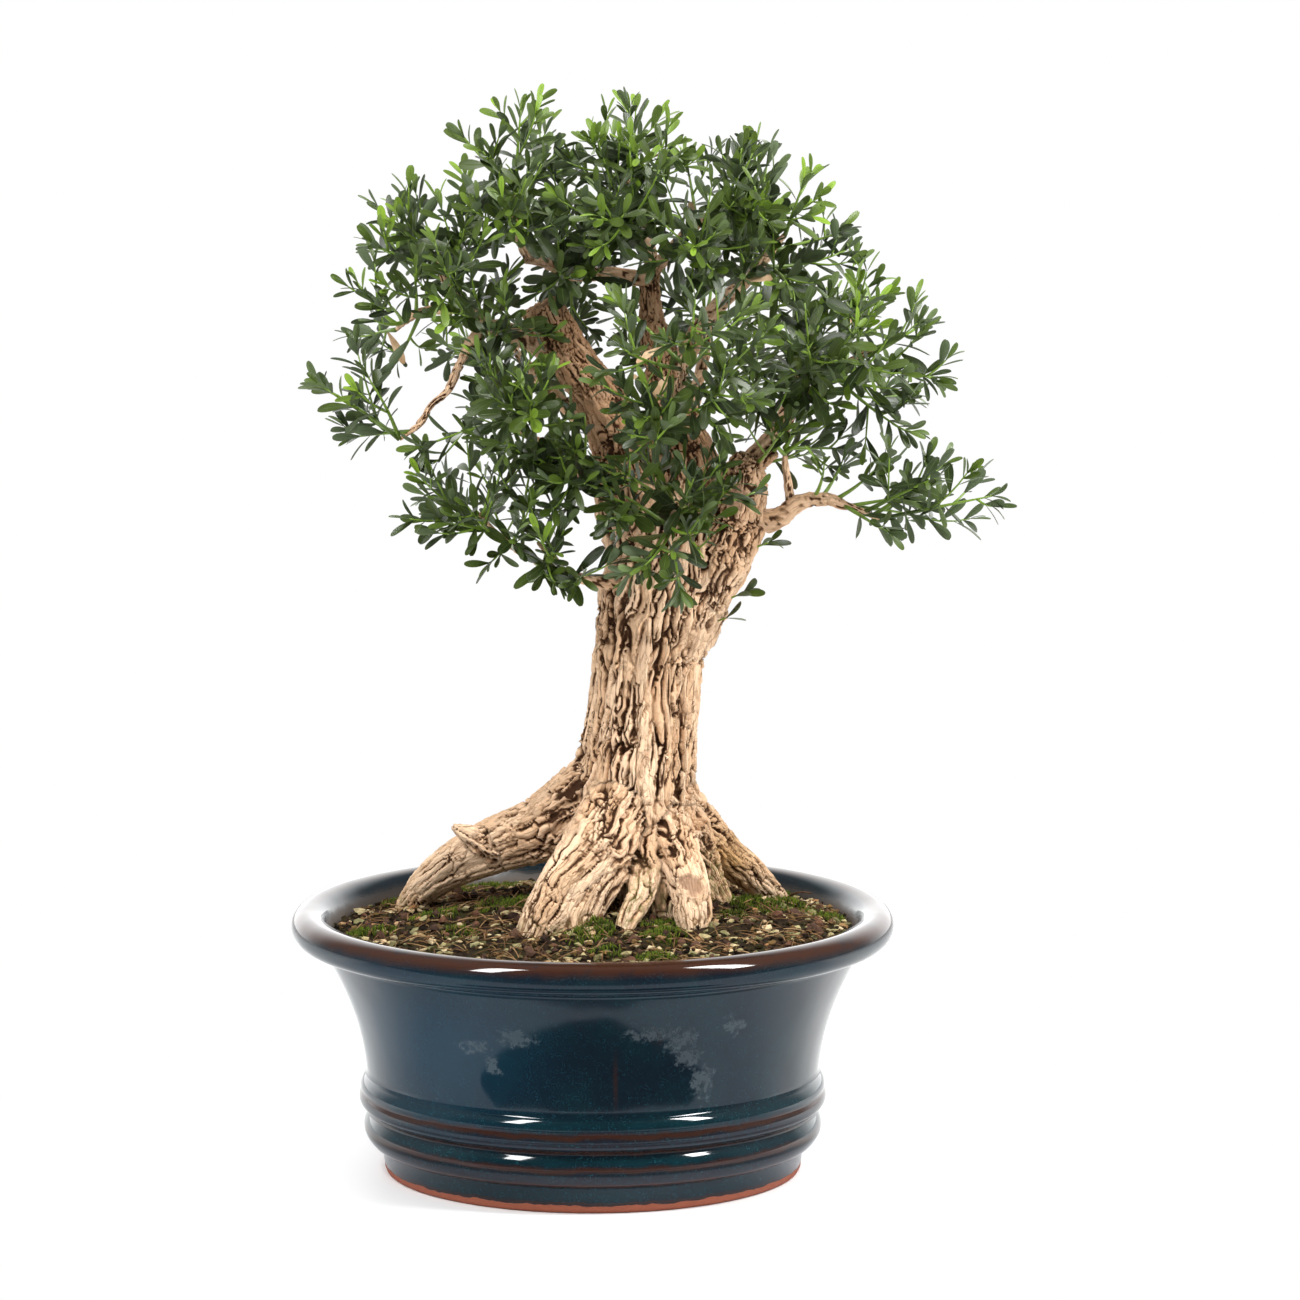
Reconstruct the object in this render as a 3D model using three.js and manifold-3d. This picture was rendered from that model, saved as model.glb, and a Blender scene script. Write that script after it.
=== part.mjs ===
// A Chinese boxwood bonsai in its glazed round pot, in millimetres, +Z up.
// The origin is the centre of the pot's flat base, on the surface that it stands on.
// +X is the tree's right hand side as it is shown, and -Y is its front.
import * as THREE from 'three';
import { mergeVertices } from 'three/addons/utils/BufferGeometryUtils.js';
import Module from 'manifold-3d';

const wasm = await Module();
wasm.setup();

// Pot: a thrown bowl with a foot, two ribs, a flared wall and a rolled lip.
const POT_SEGMENTS = 32;
const CURVE_STEPS = 3;
const FOOT = { radius: 126, chamfer: 2.5, topRadius: 127.5, height: 15 };
const LOWER_RIB = { startRadius: 133.5, start: 18, reach: 143, middle: 27, endRadius: 134.5, end: 37.5 };
const UPPER_RIB = { startRadius: 137.8, start: 40, reach: 143, middle: 48, endRadius: 137, end: 59 };
const FLARE = { bendRadius: 140, bend: 100, topRadius: 165, top: 139 };
const LIP = { centreRadius: 172, centre: 150, rollRadius: 10, innerRadius: 161.5, innerHeight: 155 };
const FLOOR_THICKNESS = 14;
const INNER_WALL = [[158, 146], [137.5, 102], [128.5, 59], [119.5, 22], [112, FLOOR_THICKNESS]];
const DRAIN = { radius: 12, offset: 62, sides: 12 };

// Plastic screen over each drain hole, under the soil.
const SCREEN = { side: 40, thickness: 1.2, bars: 4, slotLength: 30, slotWidth: 6 };

// Soil: fills the pot to below the lip, with a low mound and a lumpy top.
const GAP = 0.3;
const SOIL = { edge: 145, mound: 5, lump: 1.5, rings: [148, 122, 92] };
const SOCKET_GAP = 0.4;

// Trunk, roots and limbs. A row is [x, y, z, radius] of the wood's middle line.
// sides is the number of faces round it, and ridge the depth of its bark plates as a share of the radius.
const WOOD = {
  trunk: {
    sides: 24, steps: 2, ridge: 0.13,
    line: [[30, 14, 112, 38], [29, 14, 158, 40], [24, 13, 205, 38], [26, 12, 245, 35], [30, 11, 285, 33],
      [33, 10, 316, 33], [40, 8, 345, 38], [47, 7, 374, 36], [52, 7, 398, 26], [55, 8, 414, 12]],
  },
  left_limb: {
    sides: 12, steps: 1, ridge: 0.1,
    line: [[38, 6, 350, 20], [28, 4, 401, 27], [19, 2, 436, 20], [6, 0, 465, 15], [-12, -3, 492, 13.5],
      [-25, -5, 515, 13.5], [-30, -6, 526, 13]],
  },
  right_leader: {
    sides: 12, steps: 1, ridge: 0.1,
    line: [[52, 8, 355, 20], [57, 14, 418, 22], [51, 16, 450, 15], [44, 18, 478, 12], [38, 20, 500, 10.5],
      [35, 22, 518, 7.5], [34, 23, 537, 6.5], [38, 24, 548, 6]],
  },
  burl: {
    sides: 12, steps: 2, ridge: 0.12,
    line: [[58, 4, 338, 18], [72, 2, 370, 24], [83, 0, 398, 22], [90, 0, 420, 15], [92, 2, 436, 8]],
  },
  burl_stub: { sides: 6, steps: 1, ridge: 0.08, line: [[90, 2, 420, 8], [99, 4, 430, 6.5], [110, 6, 437, 5]] },
  side_limb: {
    sides: 7, steps: 1, ridge: 0.08,
    line: [[-26, -4, 497, 7], [-43, -8, 506, 6.3], [-59, -12, 512, 5], [-71, -16, 504, 4.2], [-79, -20, 490, 4]],
  },
  left_arm: {
    sides: 5, steps: 1, ridge: 0,
    line: [[-78, -19, 491, 3], [-86, -22, 475, 2.4], [-95, -24, 467, 2.2], [-103, -25, 455, 2.1],
      [-114, -26, 447, 2]],
  },
  cross_limb: {
    sides: 6, steps: 1, ridge: 0.06,
    line: [[35, 22, 537, 5], [11, 18, 541, 4.6], [-12, 12, 542, 4.6], [-26, 8, 549, 4.8], [-40, 6, 551, 4.2]],
  },
  crown_left: { sides: 5, steps: 1, ridge: 0, line: [[-37, 6, 551, 3.8], [-46, 5, 572, 3.2], [-45, 3, 596, 2.6]] },
  crown_middle: { sides: 5, steps: 1, ridge: 0, line: [[37, 24, 543, 5], [30, 20, 570, 3.8], [21, 12, 598, 2.8]] },
  crown_right: { sides: 5, steps: 1, ridge: 0, line: [[37, 24, 543, 4.5], [57, 30, 565, 3.6], [78, 30, 580, 2.7]] },
  shoulder: {
    sides: 7, steps: 1, ridge: 0.06,
    line: [[45, 18, 472, 8], [68, 20, 513, 5.4], [96, 18, 542, 4], [115, 12, 565, 2.8]],
  },
  right_rise: {
    sides: 7, steps: 1, ridge: 0.06,
    line: [[90, 2, 424, 8], [111, 14, 447, 6.2], [126, 24, 477, 5], [134, 26, 510, 3.2]],
  },
  right_reach: { sides: 5, steps: 1, ridge: 0, line: [[118, 18, 458, 4.8], [147, 12, 483, 3.6], [169, 6, 498, 2.6]] },
  right_arm: {
    sides: 7, steps: 1, ridge: 0.08,
    line: [[94, 0, 394, 8], [111, -2, 397, 6.8], [124, -5, 407, 5.2], [140, -9, 409, 4.2], [153, -12, 405, 3],
      [172, -16, 398, 2.5]],
  },
  right_spur: { sides: 5, steps: 1, ridge: 0, line: [[119, -4, 404, 3.4], [116, 0, 425, 2.6], [115, 4, 438, 2.4]] },
  left_rise: { sides: 5, steps: 1, ridge: 0, line: [[-58, -12, 511, 4.2], [-79, -12, 529, 3.5], [-92, -10, 551, 2.7]] },
  left_reach: { sides: 5, steps: 1, ridge: 0, line: [[-74, -12, 524, 3.4], [-102, -20, 522, 2.8], [-116, -24, 512, 2.3]] },
  middle_left: {
    sides: 6, steps: 1, ridge: 0.05,
    line: [[16, 0, 425, 7], [-7, -14, 424, 4.4], [-31, -24, 444, 3.4], [-48, -30, 459, 2.6]],
  },
  low_left: {
    sides: 5, steps: 1, ridge: 0,
    line: [[20, -12, 358, 5], [-14, -30, 366, 3], [-37, -36, 378, 2.6], [-54, -38, 390, 2.3], [-67, -40, 405, 2]],
  },
  low_front: { sides: 5, steps: 1, ridge: 0, line: [[48, -8, 396, 5], [50, -40, 404, 3.6], [46, -66, 400, 2.6]] },
  front: {
    sides: 6, steps: 1, ridge: 0.05,
    line: [[42, 4, 446, 7], [46, -34, 462, 4.8], [52, -66, 482, 3.4], [54, -86, 500, 2.7]],
  },
  back_right: {
    sides: 6, steps: 1, ridge: 0.05,
    line: [[52, 22, 430, 7], [60, 56, 456, 4.8], [68, 84, 488, 3.4], [70, 100, 512, 2.7]],
  },
  back_left: {
    sides: 6, steps: 1, ridge: 0.05,
    line: [[20, 12, 440, 7], [-8, 44, 452, 4.8], [-32, 68, 472, 3.4], [-48, 82, 490, 2.7]],
  },
  root_left: {
    sides: 10, steps: 1, ridge: 0.08,
    line: [[8, 15, 232, 24], [-29, 20, 205, 20], [-62, 28, 192, 17], [-94, 42, 172, 12.5], [-114, 53, 148, 8],
      [-120, 56, 128, 5]],
  },
  root_left_stub: { sides: 6, steps: 1, ridge: 0, line: [[-62, 20, 194, 12], [-78, 16, 202, 8], [-85, 14, 205, 4]] },
  root_front: {
    sides: 12, steps: 1, ridge: 0.08,
    line: [[20, -4, 228, 22], [4, -22, 199, 23], [-17, -38, 176, 18], [-32, -50, 156, 12], [-42, -58, 132, 6]],
  },
  root_front_small: {
    sides: 7, steps: 1, ridge: 0.06,
    line: [[34, -12, 208, 13], [31, -34, 180, 9], [20, -52, 158, 6.5], [12, -60, 136, 4]],
  },
  root_front_right: {
    sides: 8, steps: 1, ridge: 0.09,
    line: [[44, -6, 212, 16], [56, -32, 184, 12.5], [60, -48, 162, 11], [61, -54, 136, 7]],
  },
  root_right: {
    sides: 8, steps: 1, ridge: 0.08,
    line: [[46, 16, 222, 20], [74, 34, 192, 14], [98, 50, 169, 10], [116, 62, 147, 6.5], [121, 64, 130, 4.5]],
  },
  root_back: {
    sides: 8, steps: 1, ridge: 0.07,
    line: [[26, 28, 222, 20], [16, 56, 190, 16], [4, 84, 166, 11], [-6, 104, 146, 7], [-10, 114, 128, 5]],
  },
  root_back_right: {
    sides: 7, steps: 1, ridge: 0.07,
    line: [[42, 30, 214, 18], [62, 62, 182, 12], [76, 86, 156, 8], [84, 98, 132, 5]],
  },
};
const ROOT_NAMES = Object.keys(WOOD).filter((name) => name.startsWith('root') || name === 'trunk');

// Leafy shoots. A row is [where it leaves its limb, from 0 to 1, then the x, y and z of its tip].
const SHOOTS = {
  crown_left: [[1, -42, 0, 640], [0.75, -64, -28, 618], [0.8, -20, 36, 614], [0.5, -76, 28, 588],
    [0.45, -46, -64, 586], [0.4, -38, 78, 576]],
  crown_middle: [[0.85, 0, -18, 624], [1, 26, 16, 638], [0.8, 46, -38, 620], [0.5, 6, -80, 584],
    [0.6, 32, 74, 592]],
  crown_right: [[1, 88, 22, 610], [0.8, 102, -46, 592], [0.5, 60, -92, 568], [0.9, 104, 84, 566]],
  shoulder: [[1, 126, 0, 598], [0.85, 146, 48, 562]],
  right_rise: [[1, 168, 18, 536], [0.8, 128, 98, 504], [0.6, 126, -84, 510]],
  right_reach: [[1, 198, 12, 512], [0.9, 204, -28, 482], [0.7, 180, 60, 466], [0.65, 164, -76, 494],
    [0.45, 186, -6, 450]],
  right_arm: [[1, 238, -18, 412], [0.9, 204, -42, 426], [0.8, 194, 16, 396]],
  right_spur: [[1, 150, 18, 436]],
  front: [[0.9, 18, -124, 512], [1, 62, -130, 526], [0.75, 94, -122, 482], [0.5, 38, -122, 456]],
  low_front: [[1, 22, -84, 372], [0.7, 66, -84, 384]],
  middle_left: [[0.9, -68, -62, 500], [0.7, -34, -94, 478], [1, -102, -46, 444], [0.4, -16, -90, 430]],
  low_left: [[1, -86, -52, 400], [0.7, -54, -60, 382], [0.45, -24, -70, 372]],
  left_rise: [[1, -112, -12, 578], [0.6, -86, -66, 552], [0.7, -94, 48, 552]],
  left_reach: [[0.9, -138, -26, 540], [1, -134, 16, 504]],
  left_arm: [[1, -158, -30, 478], [0.85, -142, -8, 446]],
  back_right: [[1, 74, 132, 534], [0.6, 102, 112, 462], [0.5, 32, 124, 486]],
  back_left: [[1, -70, 100, 512], [0.7, -66, 78, 450], [0.5, -6, 104, 440]],
};

// One leafy shoot: a straight leader, side shoots round it, and leaves in opposite pairs.
const LEADER = { radius: 1.5, tipRadius: 0.5, seatSteps: 12 };
const SIDE = { most: 3, first: 18, spacing: 18, reach: 0.8, spread: 44, rise: 0.15, radius: 0.7 };
const LEAF = {
  length: 24, width: 6.8, thickness: 1.3, widest: 0.7, waist: 0.35, sag: 0.1, cap: 0.7,
  spacing: 7.5, spread: 46, tipSpread: 0.8, tipLength: 0.9,
};
const GOLDEN_ANGLE = 137.5;
const LEAF_CLEARANCE = LEAF.width / 2 + 0.2;

const UP = new THREE.Vector3(0, 0, 1);

/** A fixed number from 0 to 1 for each key, so that every draw is the same each time. */
function draw(...key) {
  const mixed = key.reduce((sum, value, place) => sum + value * (place * 37.7 + 12.9898), 4.1);
  const wave = Math.sin(mixed) * 43758.5453;
  return wave - Math.floor(wave);
}

/** A closed three.js geometry as a solid. */
function solid(geometry) {
  const bare = geometry.clone();
  bare.deleteAttribute('normal');
  bare.deleteAttribute('uv');
  const merged = mergeVertices(bare, 1e-4);
  const triVerts = new Uint32Array(merged.index.array);
  const vertProperties = new Float32Array(merged.attributes.position.array);
  return new wasm.Manifold(new wasm.Mesh({ numProp: 3, vertProperties, triVerts }));
}

/** Solids joined in one, without the slivers that the joins leave. */
function joined(solids, sliver = 0.02) {
  return solids.reduce((whole, piece) => whole.add(piece)).simplify(sliver);
}

/** A solid as a named mesh of the scene graph. */
function meshOf(shape, name, material) {
  const mesh = shape.getMesh();
  const geometry = new THREE.BufferGeometry();
  geometry.setAttribute('position', new THREE.BufferAttribute(new Float32Array(mesh.vertProperties), 3));
  geometry.setIndex(new THREE.BufferAttribute(new Uint32Array(mesh.triVerts), 1));
  geometry.computeVertexNormals();
  const result = new THREE.Mesh(geometry, material);
  result.name = name;
  return result;
}

/** The middle line of a wood or stem, and its radius, at a share from 0 to 1 of its rows. */
class Line {
  constructor(rows) {
    this.radii = rows.map((row) => row[3]);
    const points = rows.map((row) => new THREE.Vector3(...row.slice(0, 3)));
    this.curve = new THREE.CatmullRomCurve3(points, false, 'catmullrom', 0.5);
  }

  point(share) {
    return this.curve.getPoint(share);
  }

  radius(share) {
    const place = share * (this.radii.length - 1);
    const row = Math.min(Math.floor(place), this.radii.length - 2);
    return THREE.MathUtils.lerp(this.radii[row], this.radii[row + 1], place - row);
  }
}

/** A direction square to the given one, as near as can be to the wanted side. */
function squareTo(direction, wanted) {
  return wanted.clone().addScaledVector(direction, -wanted.dot(direction)).normalize();
}

/**
 * A closed round body along a curve: a cylinder whose rows are moved onto the curve.
 * radiusAt(share, angle) gives the distance from the middle line, and grow adds to it all round and at the ends.
 */
function tube(curve, radiusAt, sides, rows, grow = 0) {
  const geometry = new THREE.CylinderGeometry(1, 1, 1, sides, rows);
  const frames = [];
  for (let row = 0; row <= rows; row += 1) {
    const share = row / rows;
    const along = curve.getTangent(share);
    const before = row > 0 ? frames[row - 1].side : new THREE.Vector3(1, 0, 0);
    const start = Math.abs(along.x) > 0.9 && row === 0 ? new THREE.Vector3(0, 1, 0) : before;
    const side = squareTo(along, start);
    const centre = curve.getPoint(share);
    const end = row === 0 ? -grow : row === rows ? grow : 0;
    centre.addScaledVector(along, end);
    frames.push({ centre, side, across: new THREE.Vector3().crossVectors(side, along), share });
  }
  const position = geometry.attributes.position;
  for (let index = 0; index < position.count; index += 1) {
    const row = Math.round((position.getY(index) + 0.5) * rows);
    const { centre, side, across, share } = frames[row];
    const angle = Math.atan2(position.getX(index), position.getZ(index));
    const onAxis = Math.hypot(position.getX(index), position.getZ(index)) < 0.5;
    const reach = onAxis ? 0 : radiusAt(share, angle) + grow;
    const moved = centre.clone();
    moved.addScaledVector(side, reach * Math.sin(angle));
    moved.addScaledVector(across, reach * Math.cos(angle));
    position.setXYZ(index, moved.x, moved.y, moved.z);
  }
  return solid(geometry);
}

/** The pot's outline from the middle of its base, up the outside, over the lip and down to the floor. */
function potOutline() {
  const outline = new THREE.Path();
  outline.moveTo(0, 0);
  outline.lineTo(FOOT.radius - FOOT.chamfer, 0);
  outline.lineTo(FOOT.radius, FOOT.chamfer);
  outline.lineTo(FOOT.topRadius, FOOT.height);
  for (const rib of [LOWER_RIB, UPPER_RIB]) {
    outline.lineTo(rib.startRadius, rib.start);
    outline.quadraticCurveTo(rib.reach, rib.middle, rib.endRadius, rib.end);
  }
  outline.quadraticCurveTo(FLARE.bendRadius, FLARE.bend, FLARE.topRadius, FLARE.top);
  outline.absarc(LIP.centreRadius, LIP.centre, LIP.rollRadius, -Math.PI / 2, Math.PI / 2, false);
  outline.lineTo(LIP.innerRadius, LIP.innerHeight);
  for (const [radius, height] of INNER_WALL) {
    outline.lineTo(radius, height);
  }
  outline.lineTo(0, FLOOR_THICKNESS);
  return outline.getPoints(CURVE_STEPS);
}

/** A lathed solid that stands up along +Z. */
function lathed(points, change = (vertex) => vertex) {
  const geometry = new THREE.LatheGeometry(points, POT_SEGMENTS);
  geometry.rotateX(Math.PI / 2);
  const position = geometry.attributes.position;
  for (let index = 0; index < position.count; index += 1) {
    const vertex = change(new THREE.Vector3().fromBufferAttribute(position, index));
    position.setXYZ(index, vertex.x, vertex.y, vertex.z);
  }
  return solid(geometry);
}

function drainHole(side) {
  const geometry = new THREE.CylinderGeometry(DRAIN.radius, DRAIN.radius, 4 * FLOOR_THICKNESS, DRAIN.sides);
  geometry.rotateX(Math.PI / 2);
  geometry.translate(side * DRAIN.offset, 0, 0);
  return solid(geometry);
}

function makePot() {
  return lathed(potOutline()).subtract(drainHole(-1)).subtract(drainHole(1));
}

/** A box with its middle at the given place. */
function box(width, depth, height, [x, y, z]) {
  const geometry = new THREE.BoxGeometry(width, depth, height);
  geometry.translate(x, y, z);
  return solid(geometry);
}

/** A square plate over a drain hole, grown all round by the given amount. */
function screenPlate(side, grow = 0) {
  const place = [side * DRAIN.offset, 0, FLOOR_THICKNESS + GAP + SCREEN.thickness / 2];
  return box(SCREEN.side + 2 * grow, SCREEN.side + 2 * grow, SCREEN.thickness + 2 * grow, place);
}

/** The screen itself, with its slots. */
function makeScreen(side) {
  let plate = screenPlate(side);
  for (let slot = 1; slot < SCREEN.bars; slot += 1) {
    const x = side * DRAIN.offset + (slot / SCREEN.bars - 0.5) * SCREEN.side;
    plate = plate.subtract(box(SCREEN.slotWidth, SCREEN.slotLength, SCREEN.side, [x, 0, FLOOR_THICKNESS]));
  }
  return plate;
}

/** Height of the soil's top: a low mound with lumps, level where it meets the pot. */
function soilHeight(x, y) {
  const inward = Math.max(0, 1 - Math.hypot(x, y) / SOIL.rings[0]);
  const lumps = Math.sin(x * 0.19 + 1.1) * Math.cos(y * 0.23 + 0.4) + Math.sin(x * 0.11 - y * 0.13);
  return SOIL.edge + SOIL.mound * inward + SOIL.lump * lumps * Math.min(1, inward * 8);
}

function makeSoil() {
  const outline = [new THREE.Vector2(0, FLOOR_THICKNESS + GAP)];
  for (const [radius, height] of [...INNER_WALL].reverse()) {
    const low = Math.max(height, FLOOR_THICKNESS + GAP);
    outline.push(new THREE.Vector2(radius - 2 * GAP, Math.min(low, SOIL.edge)));
  }
  for (const radius of SOIL.rings) {
    outline.push(new THREE.Vector2(radius, SOIL.edge + 1));
  }
  outline.push(new THREE.Vector2(0, SOIL.edge + 1));
  const filling = lathed(outline, (vertex) => {
    if (vertex.z > SOIL.edge) {
      vertex.z = soilHeight(vertex.x, vertex.y);
    }
    return vertex;
  });
  const sockets = ROOT_NAMES.map((name) => woodPiece(name, SOCKET_GAP));
  const recesses = [screenPlate(-1, GAP), screenPlate(1, GAP)];
  return [...sockets, ...recesses].reduce((whole, cut) => whole.subtract(cut), filling).simplify(0.1);
}

/** One trunk, limb or root, with raised plates of bark along it. */
function woodPiece(name, grow = 0) {
  const { sides, steps, ridge, line } = WOOD[name];
  const middle = new Line(line);
  const plates = sides / 2;
  const radiusAt = (share, angle) => {
    const plate = Math.cos(angle * plates) * (0.7 + 0.5 * Math.sin(share * 17 + angle * 2));
    const lobes = 0.45 * Math.sin(angle * 3 + share * 5);
    return middle.radius(share) * (1 + ridge * (plate + lobes));
  };
  return tube(middle.curve, radiusAt, sides, steps * (line.length - 1), grow);
}

/**
 * The straight leader of one shoot. It points from the middle of its limb to its tip, and starts at the
 * place nearest the limb where it keeps its gap to all of the wood.
 */
function seatedLeader(trunk, limb, share, tip) {
  const centre = new Line(WOOD[limb].line).point(share);
  const from = (place) => new THREE.LineCurve3(centre.clone().lerp(tip, place), tip);
  let touching = 0;
  let clear = 0.8;
  for (let step = 0; step < LEADER.seatSteps; step += 1) {
    const middle = (touching + clear) / 2;
    const space = tube(from(middle), () => LEADER.radius, 6, 1, GAP);
    if (trunk.intersect(space).isEmpty()) {
      clear = middle;
    } else {
      touching = middle;
    }
  }
  return from(clear);
}

/** Every leafy shoot: its number and its leader. */
function plannedShoots(trunk) {
  const rows = Object.entries(SHOOTS).flatMap(([limb, shoots]) => shoots.map((shoot) => [limb, ...shoot]));
  return rows.map(([limb, share, ...tip], number) => {
    return { number, leader: seatedLeader(trunk, limb, share, new THREE.Vector3(...tip)) };
  });
}

function makeTrunk() {
  return joined(Object.keys(WOOD).map((name) => woodPiece(name)), 0.15);
}

/** Straight pieces that follow a curve, for measuring how near two things are. */
function chain(curve, count, radius) {
  const points = curve.getPoints(count);
  return points.slice(1).map((end, index) => ({ start: points[index], end, radius }));
}

/** The shortest distance between two straight pieces. */
function distance(first, second) {
  const u = first.end.clone().sub(first.start);
  const v = second.end.clone().sub(second.start);
  const w = first.start.clone().sub(second.start);
  const [a, b, c, d, e] = [u.dot(u), u.dot(v), v.dot(v), u.dot(w), v.dot(w)];
  const spread = a * c - b * b;
  let s = spread > 1e-9 ? THREE.MathUtils.clamp((b * e - c * d) / spread, 0, 1) : 0;
  const t = THREE.MathUtils.clamp((b * s + e) / c, 0, 1);
  s = THREE.MathUtils.clamp((b * t - d) / a, 0, 1);
  return w.addScaledVector(u, s).addScaledVector(v, -t).length();
}

/** Whether straight pieces keep clear of everything that doesn't belong to the same shoot. */
function isClear(pieces, taken, owner) {
  return pieces.every((piece) => taken.every((other) => {
    const near = piece.radius + other.radius + GAP;
    return other.owner === owner || distance(piece, other) > near;
  }));
}

/** A side shoot's line: which one it is, from the tip down, and how far it is turned round its leader. */
function sideCurve(leader, place, turn) {
  const below = SIDE.first + SIDE.spacing * place;
  const length = SIDE.reach * below;
  const share = 1 - below / leader.getLength();
  const start = leader.getPoint(share);
  const along = leader.getTangent(share);
  const side = squareTo(along, Math.abs(along.z) > 0.9 ? new THREE.Vector3(1, 0, 0) : UP);
  side.applyAxisAngle(along, THREE.MathUtils.degToRad(turn));
  const spread = THREE.MathUtils.degToRad(SIDE.spread);
  const out = along.clone().multiplyScalar(Math.cos(spread)).addScaledVector(side, Math.sin(spread));
  const tip = start.clone().addScaledVector(out, length).addScaledVector(UP, SIDE.rise * length);
  return new THREE.LineCurve3(start, tip);
}

/** Side shoots of one leader, each turned on until it is clear of the rest of the tree. */
function sideShoots(shoot, taken) {
  const turns = [0, 30, -30, 60, -60, 90, -90];
  const length = shoot.leader.getLength();
  const count = Math.min(SIDE.most, Math.round((length - SIDE.first) / SIDE.spacing));
  const found = [];
  for (let place = 0; place < count; place += 1) {
    const wanted = GOLDEN_ANGLE * place + 360 * draw(shoot.number, 1);
    const curves = turns.map((turn) => sideCurve(shoot.leader, place, wanted + turn));
    const curve = curves.find((each) => isClear(chain(each, 1, SIDE.radius), taken, shoot.number));
    if (curve) {
      found.push(curve);
      taken.push(...chain(curve, 1, SIDE.radius).map((piece) => ({ ...piece, owner: shoot.number })));
    }
  }
  return found;
}

/** Places for pairs of leaves on one stem, from its tip down, each pair turned a quarter from the next. */
function pairPlaces(curve, number, stem) {
  const length = curve.getLength();
  const count = Math.max(1, Math.floor(length / LEAF.spacing) - 1);
  return Array.from({ length: count }, (unused, pair) => {
    const share = 1 - (pair * LEAF.spacing) / length;
    const along = curve.getTangent(share);
    const side = squareTo(along, Math.abs(along.z) > 0.9 ? new THREE.Vector3(1, 0, 0) : UP);
    const turn = 360 * draw(number, stem, 2) + 90 * pair;
    side.applyAxisAngle(along, THREE.MathUtils.degToRad(turn));
    const spread = THREE.MathUtils.degToRad(LEAF.spread * (pair === 0 ? LEAF.tipSpread : 1));
    const size = LEAF.length * (pair === 0 ? LEAF.tipLength : 1);
    const base = curve.getPoint(share).addScaledVector(along, LEAF.cap);
    return { base, along, side, spread, length: size };
  });
}

/** The direction of one leaf of a pair, and the way that its upper face looks. */
function leafFrame({ along, side, spread }, half) {
  const out = along.clone().multiplyScalar(Math.cos(spread)).addScaledVector(side, half * Math.sin(spread));
  return { out, face: squareTo(out, along) };
}

/** Two opposite leaves as one body: narrow where they meet, widest near their tips, with a keel below. */
function leafPair(place) {
  const { base, along, side, length } = place;
  const across = new THREE.Vector3().crossVectors(along, side);
  const left = leafFrame(place, 1);
  const right = leafFrame(place, -1);
  const rows = [
    { ...left, reach: 1, half: 0, keel: 0 },
    { ...left, reach: LEAF.widest, half: 1, keel: 1 },
    { out: along, face: along, reach: 0, half: LEAF.waist, keel: 1 },
    { ...right, reach: LEAF.widest, half: 1, keel: 1 },
    { ...right, reach: 1, half: 0, keel: 0 },
  ];
  const geometry = new THREE.SphereGeometry(1, 3, rows.length - 1);
  const position = geometry.attributes.position;
  for (let index = 0; index < position.count; index += 1) {
    const height = THREE.MathUtils.clamp(position.getY(index), -1, 1);
    const row = rows[Math.round((Math.acos(height) / Math.PI) * (rows.length - 1))];
    const moved = base.clone().addScaledVector(row.out, row.reach * length);
    moved.addScaledVector(row.face, -LEAF.sag * length * row.reach * row.reach);
    if (position.getX(index) < 0) {
      moved.addScaledVector(row.face, -LEAF.thickness * row.keel);
    } else {
      moved.addScaledVector(across, Math.sign(position.getZ(index)) * row.half * (LEAF.width / 2));
    }
    position.setXYZ(index, moved.x, moved.y, moved.z);
  }
  return solid(geometry);
}

/** The pairs of leaves of one shoot that keep clear of every other shoot and of the wood. */
function clearLeaves(shoot, stems, taken) {
  const kept = [];
  for (const [stem, curve] of stems.entries()) {
    const place = pairPlaces(curve, shoot.number, stem).find((each) => {
      return isClear(pairPieces(each), taken, shoot.number);
    });
    if (place) {
      kept.push(leafPair(place));
      taken.push(...pairPieces(place).map((piece) => ({ ...piece, owner: shoot.number })));
    }
  }
  return kept;
}

/** The straight pieces that stand for the two leaves of a pair in the test of what is near. */
function pairPieces(place) {
  return [1, -1].map((half) => {
    const { out } = leafFrame(place, half);
    const start = place.base.clone().addScaledVector(out, LEAF_CLEARANCE);
    const end = place.base.clone().addScaledVector(out, place.length);
    return { start, end, radius: LEAF_CLEARANCE };
  });
}

/** Every leafy shoot as one solid each. */
function makeShoots(shoots) {
  const taken = Object.values(WOOD).flatMap(({ line }) => {
    const middle = new Line(line);
    const count = 3 * (line.length - 1);
    return chain(middle.curve, count, 0).map((piece, index) => {
      return { ...piece, radius: 1.1 * Math.max(middle.radius(index / count), middle.radius((index + 1) / count)) };
    });
  });
  for (const { leader, number } of shoots) {
    taken.push({ start: leader.v1, end: leader.v2, radius: LEADER.radius, owner: number });
  }
  const stems = shoots.map((shoot) => [shoot.leader, ...sideShoots(shoot, taken)]);
  return shoots.map((shoot, index) => {
    const leaves = clearLeaves(shoot, stems[index], taken);
    const radiusAt = (radius) => (share) => THREE.MathUtils.lerp(radius, LEADER.tipRadius, share);
    const [leader, ...sides] = stems[index];
    const wood = tube(leader, radiusAt(LEADER.radius), 3, 1);
    const shorter = sides.map((curve) => tube(curve, radiusAt(SIDE.radius), 3, 1));
    return joined([wood, ...shorter, ...leaves]);
  });
}

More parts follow.
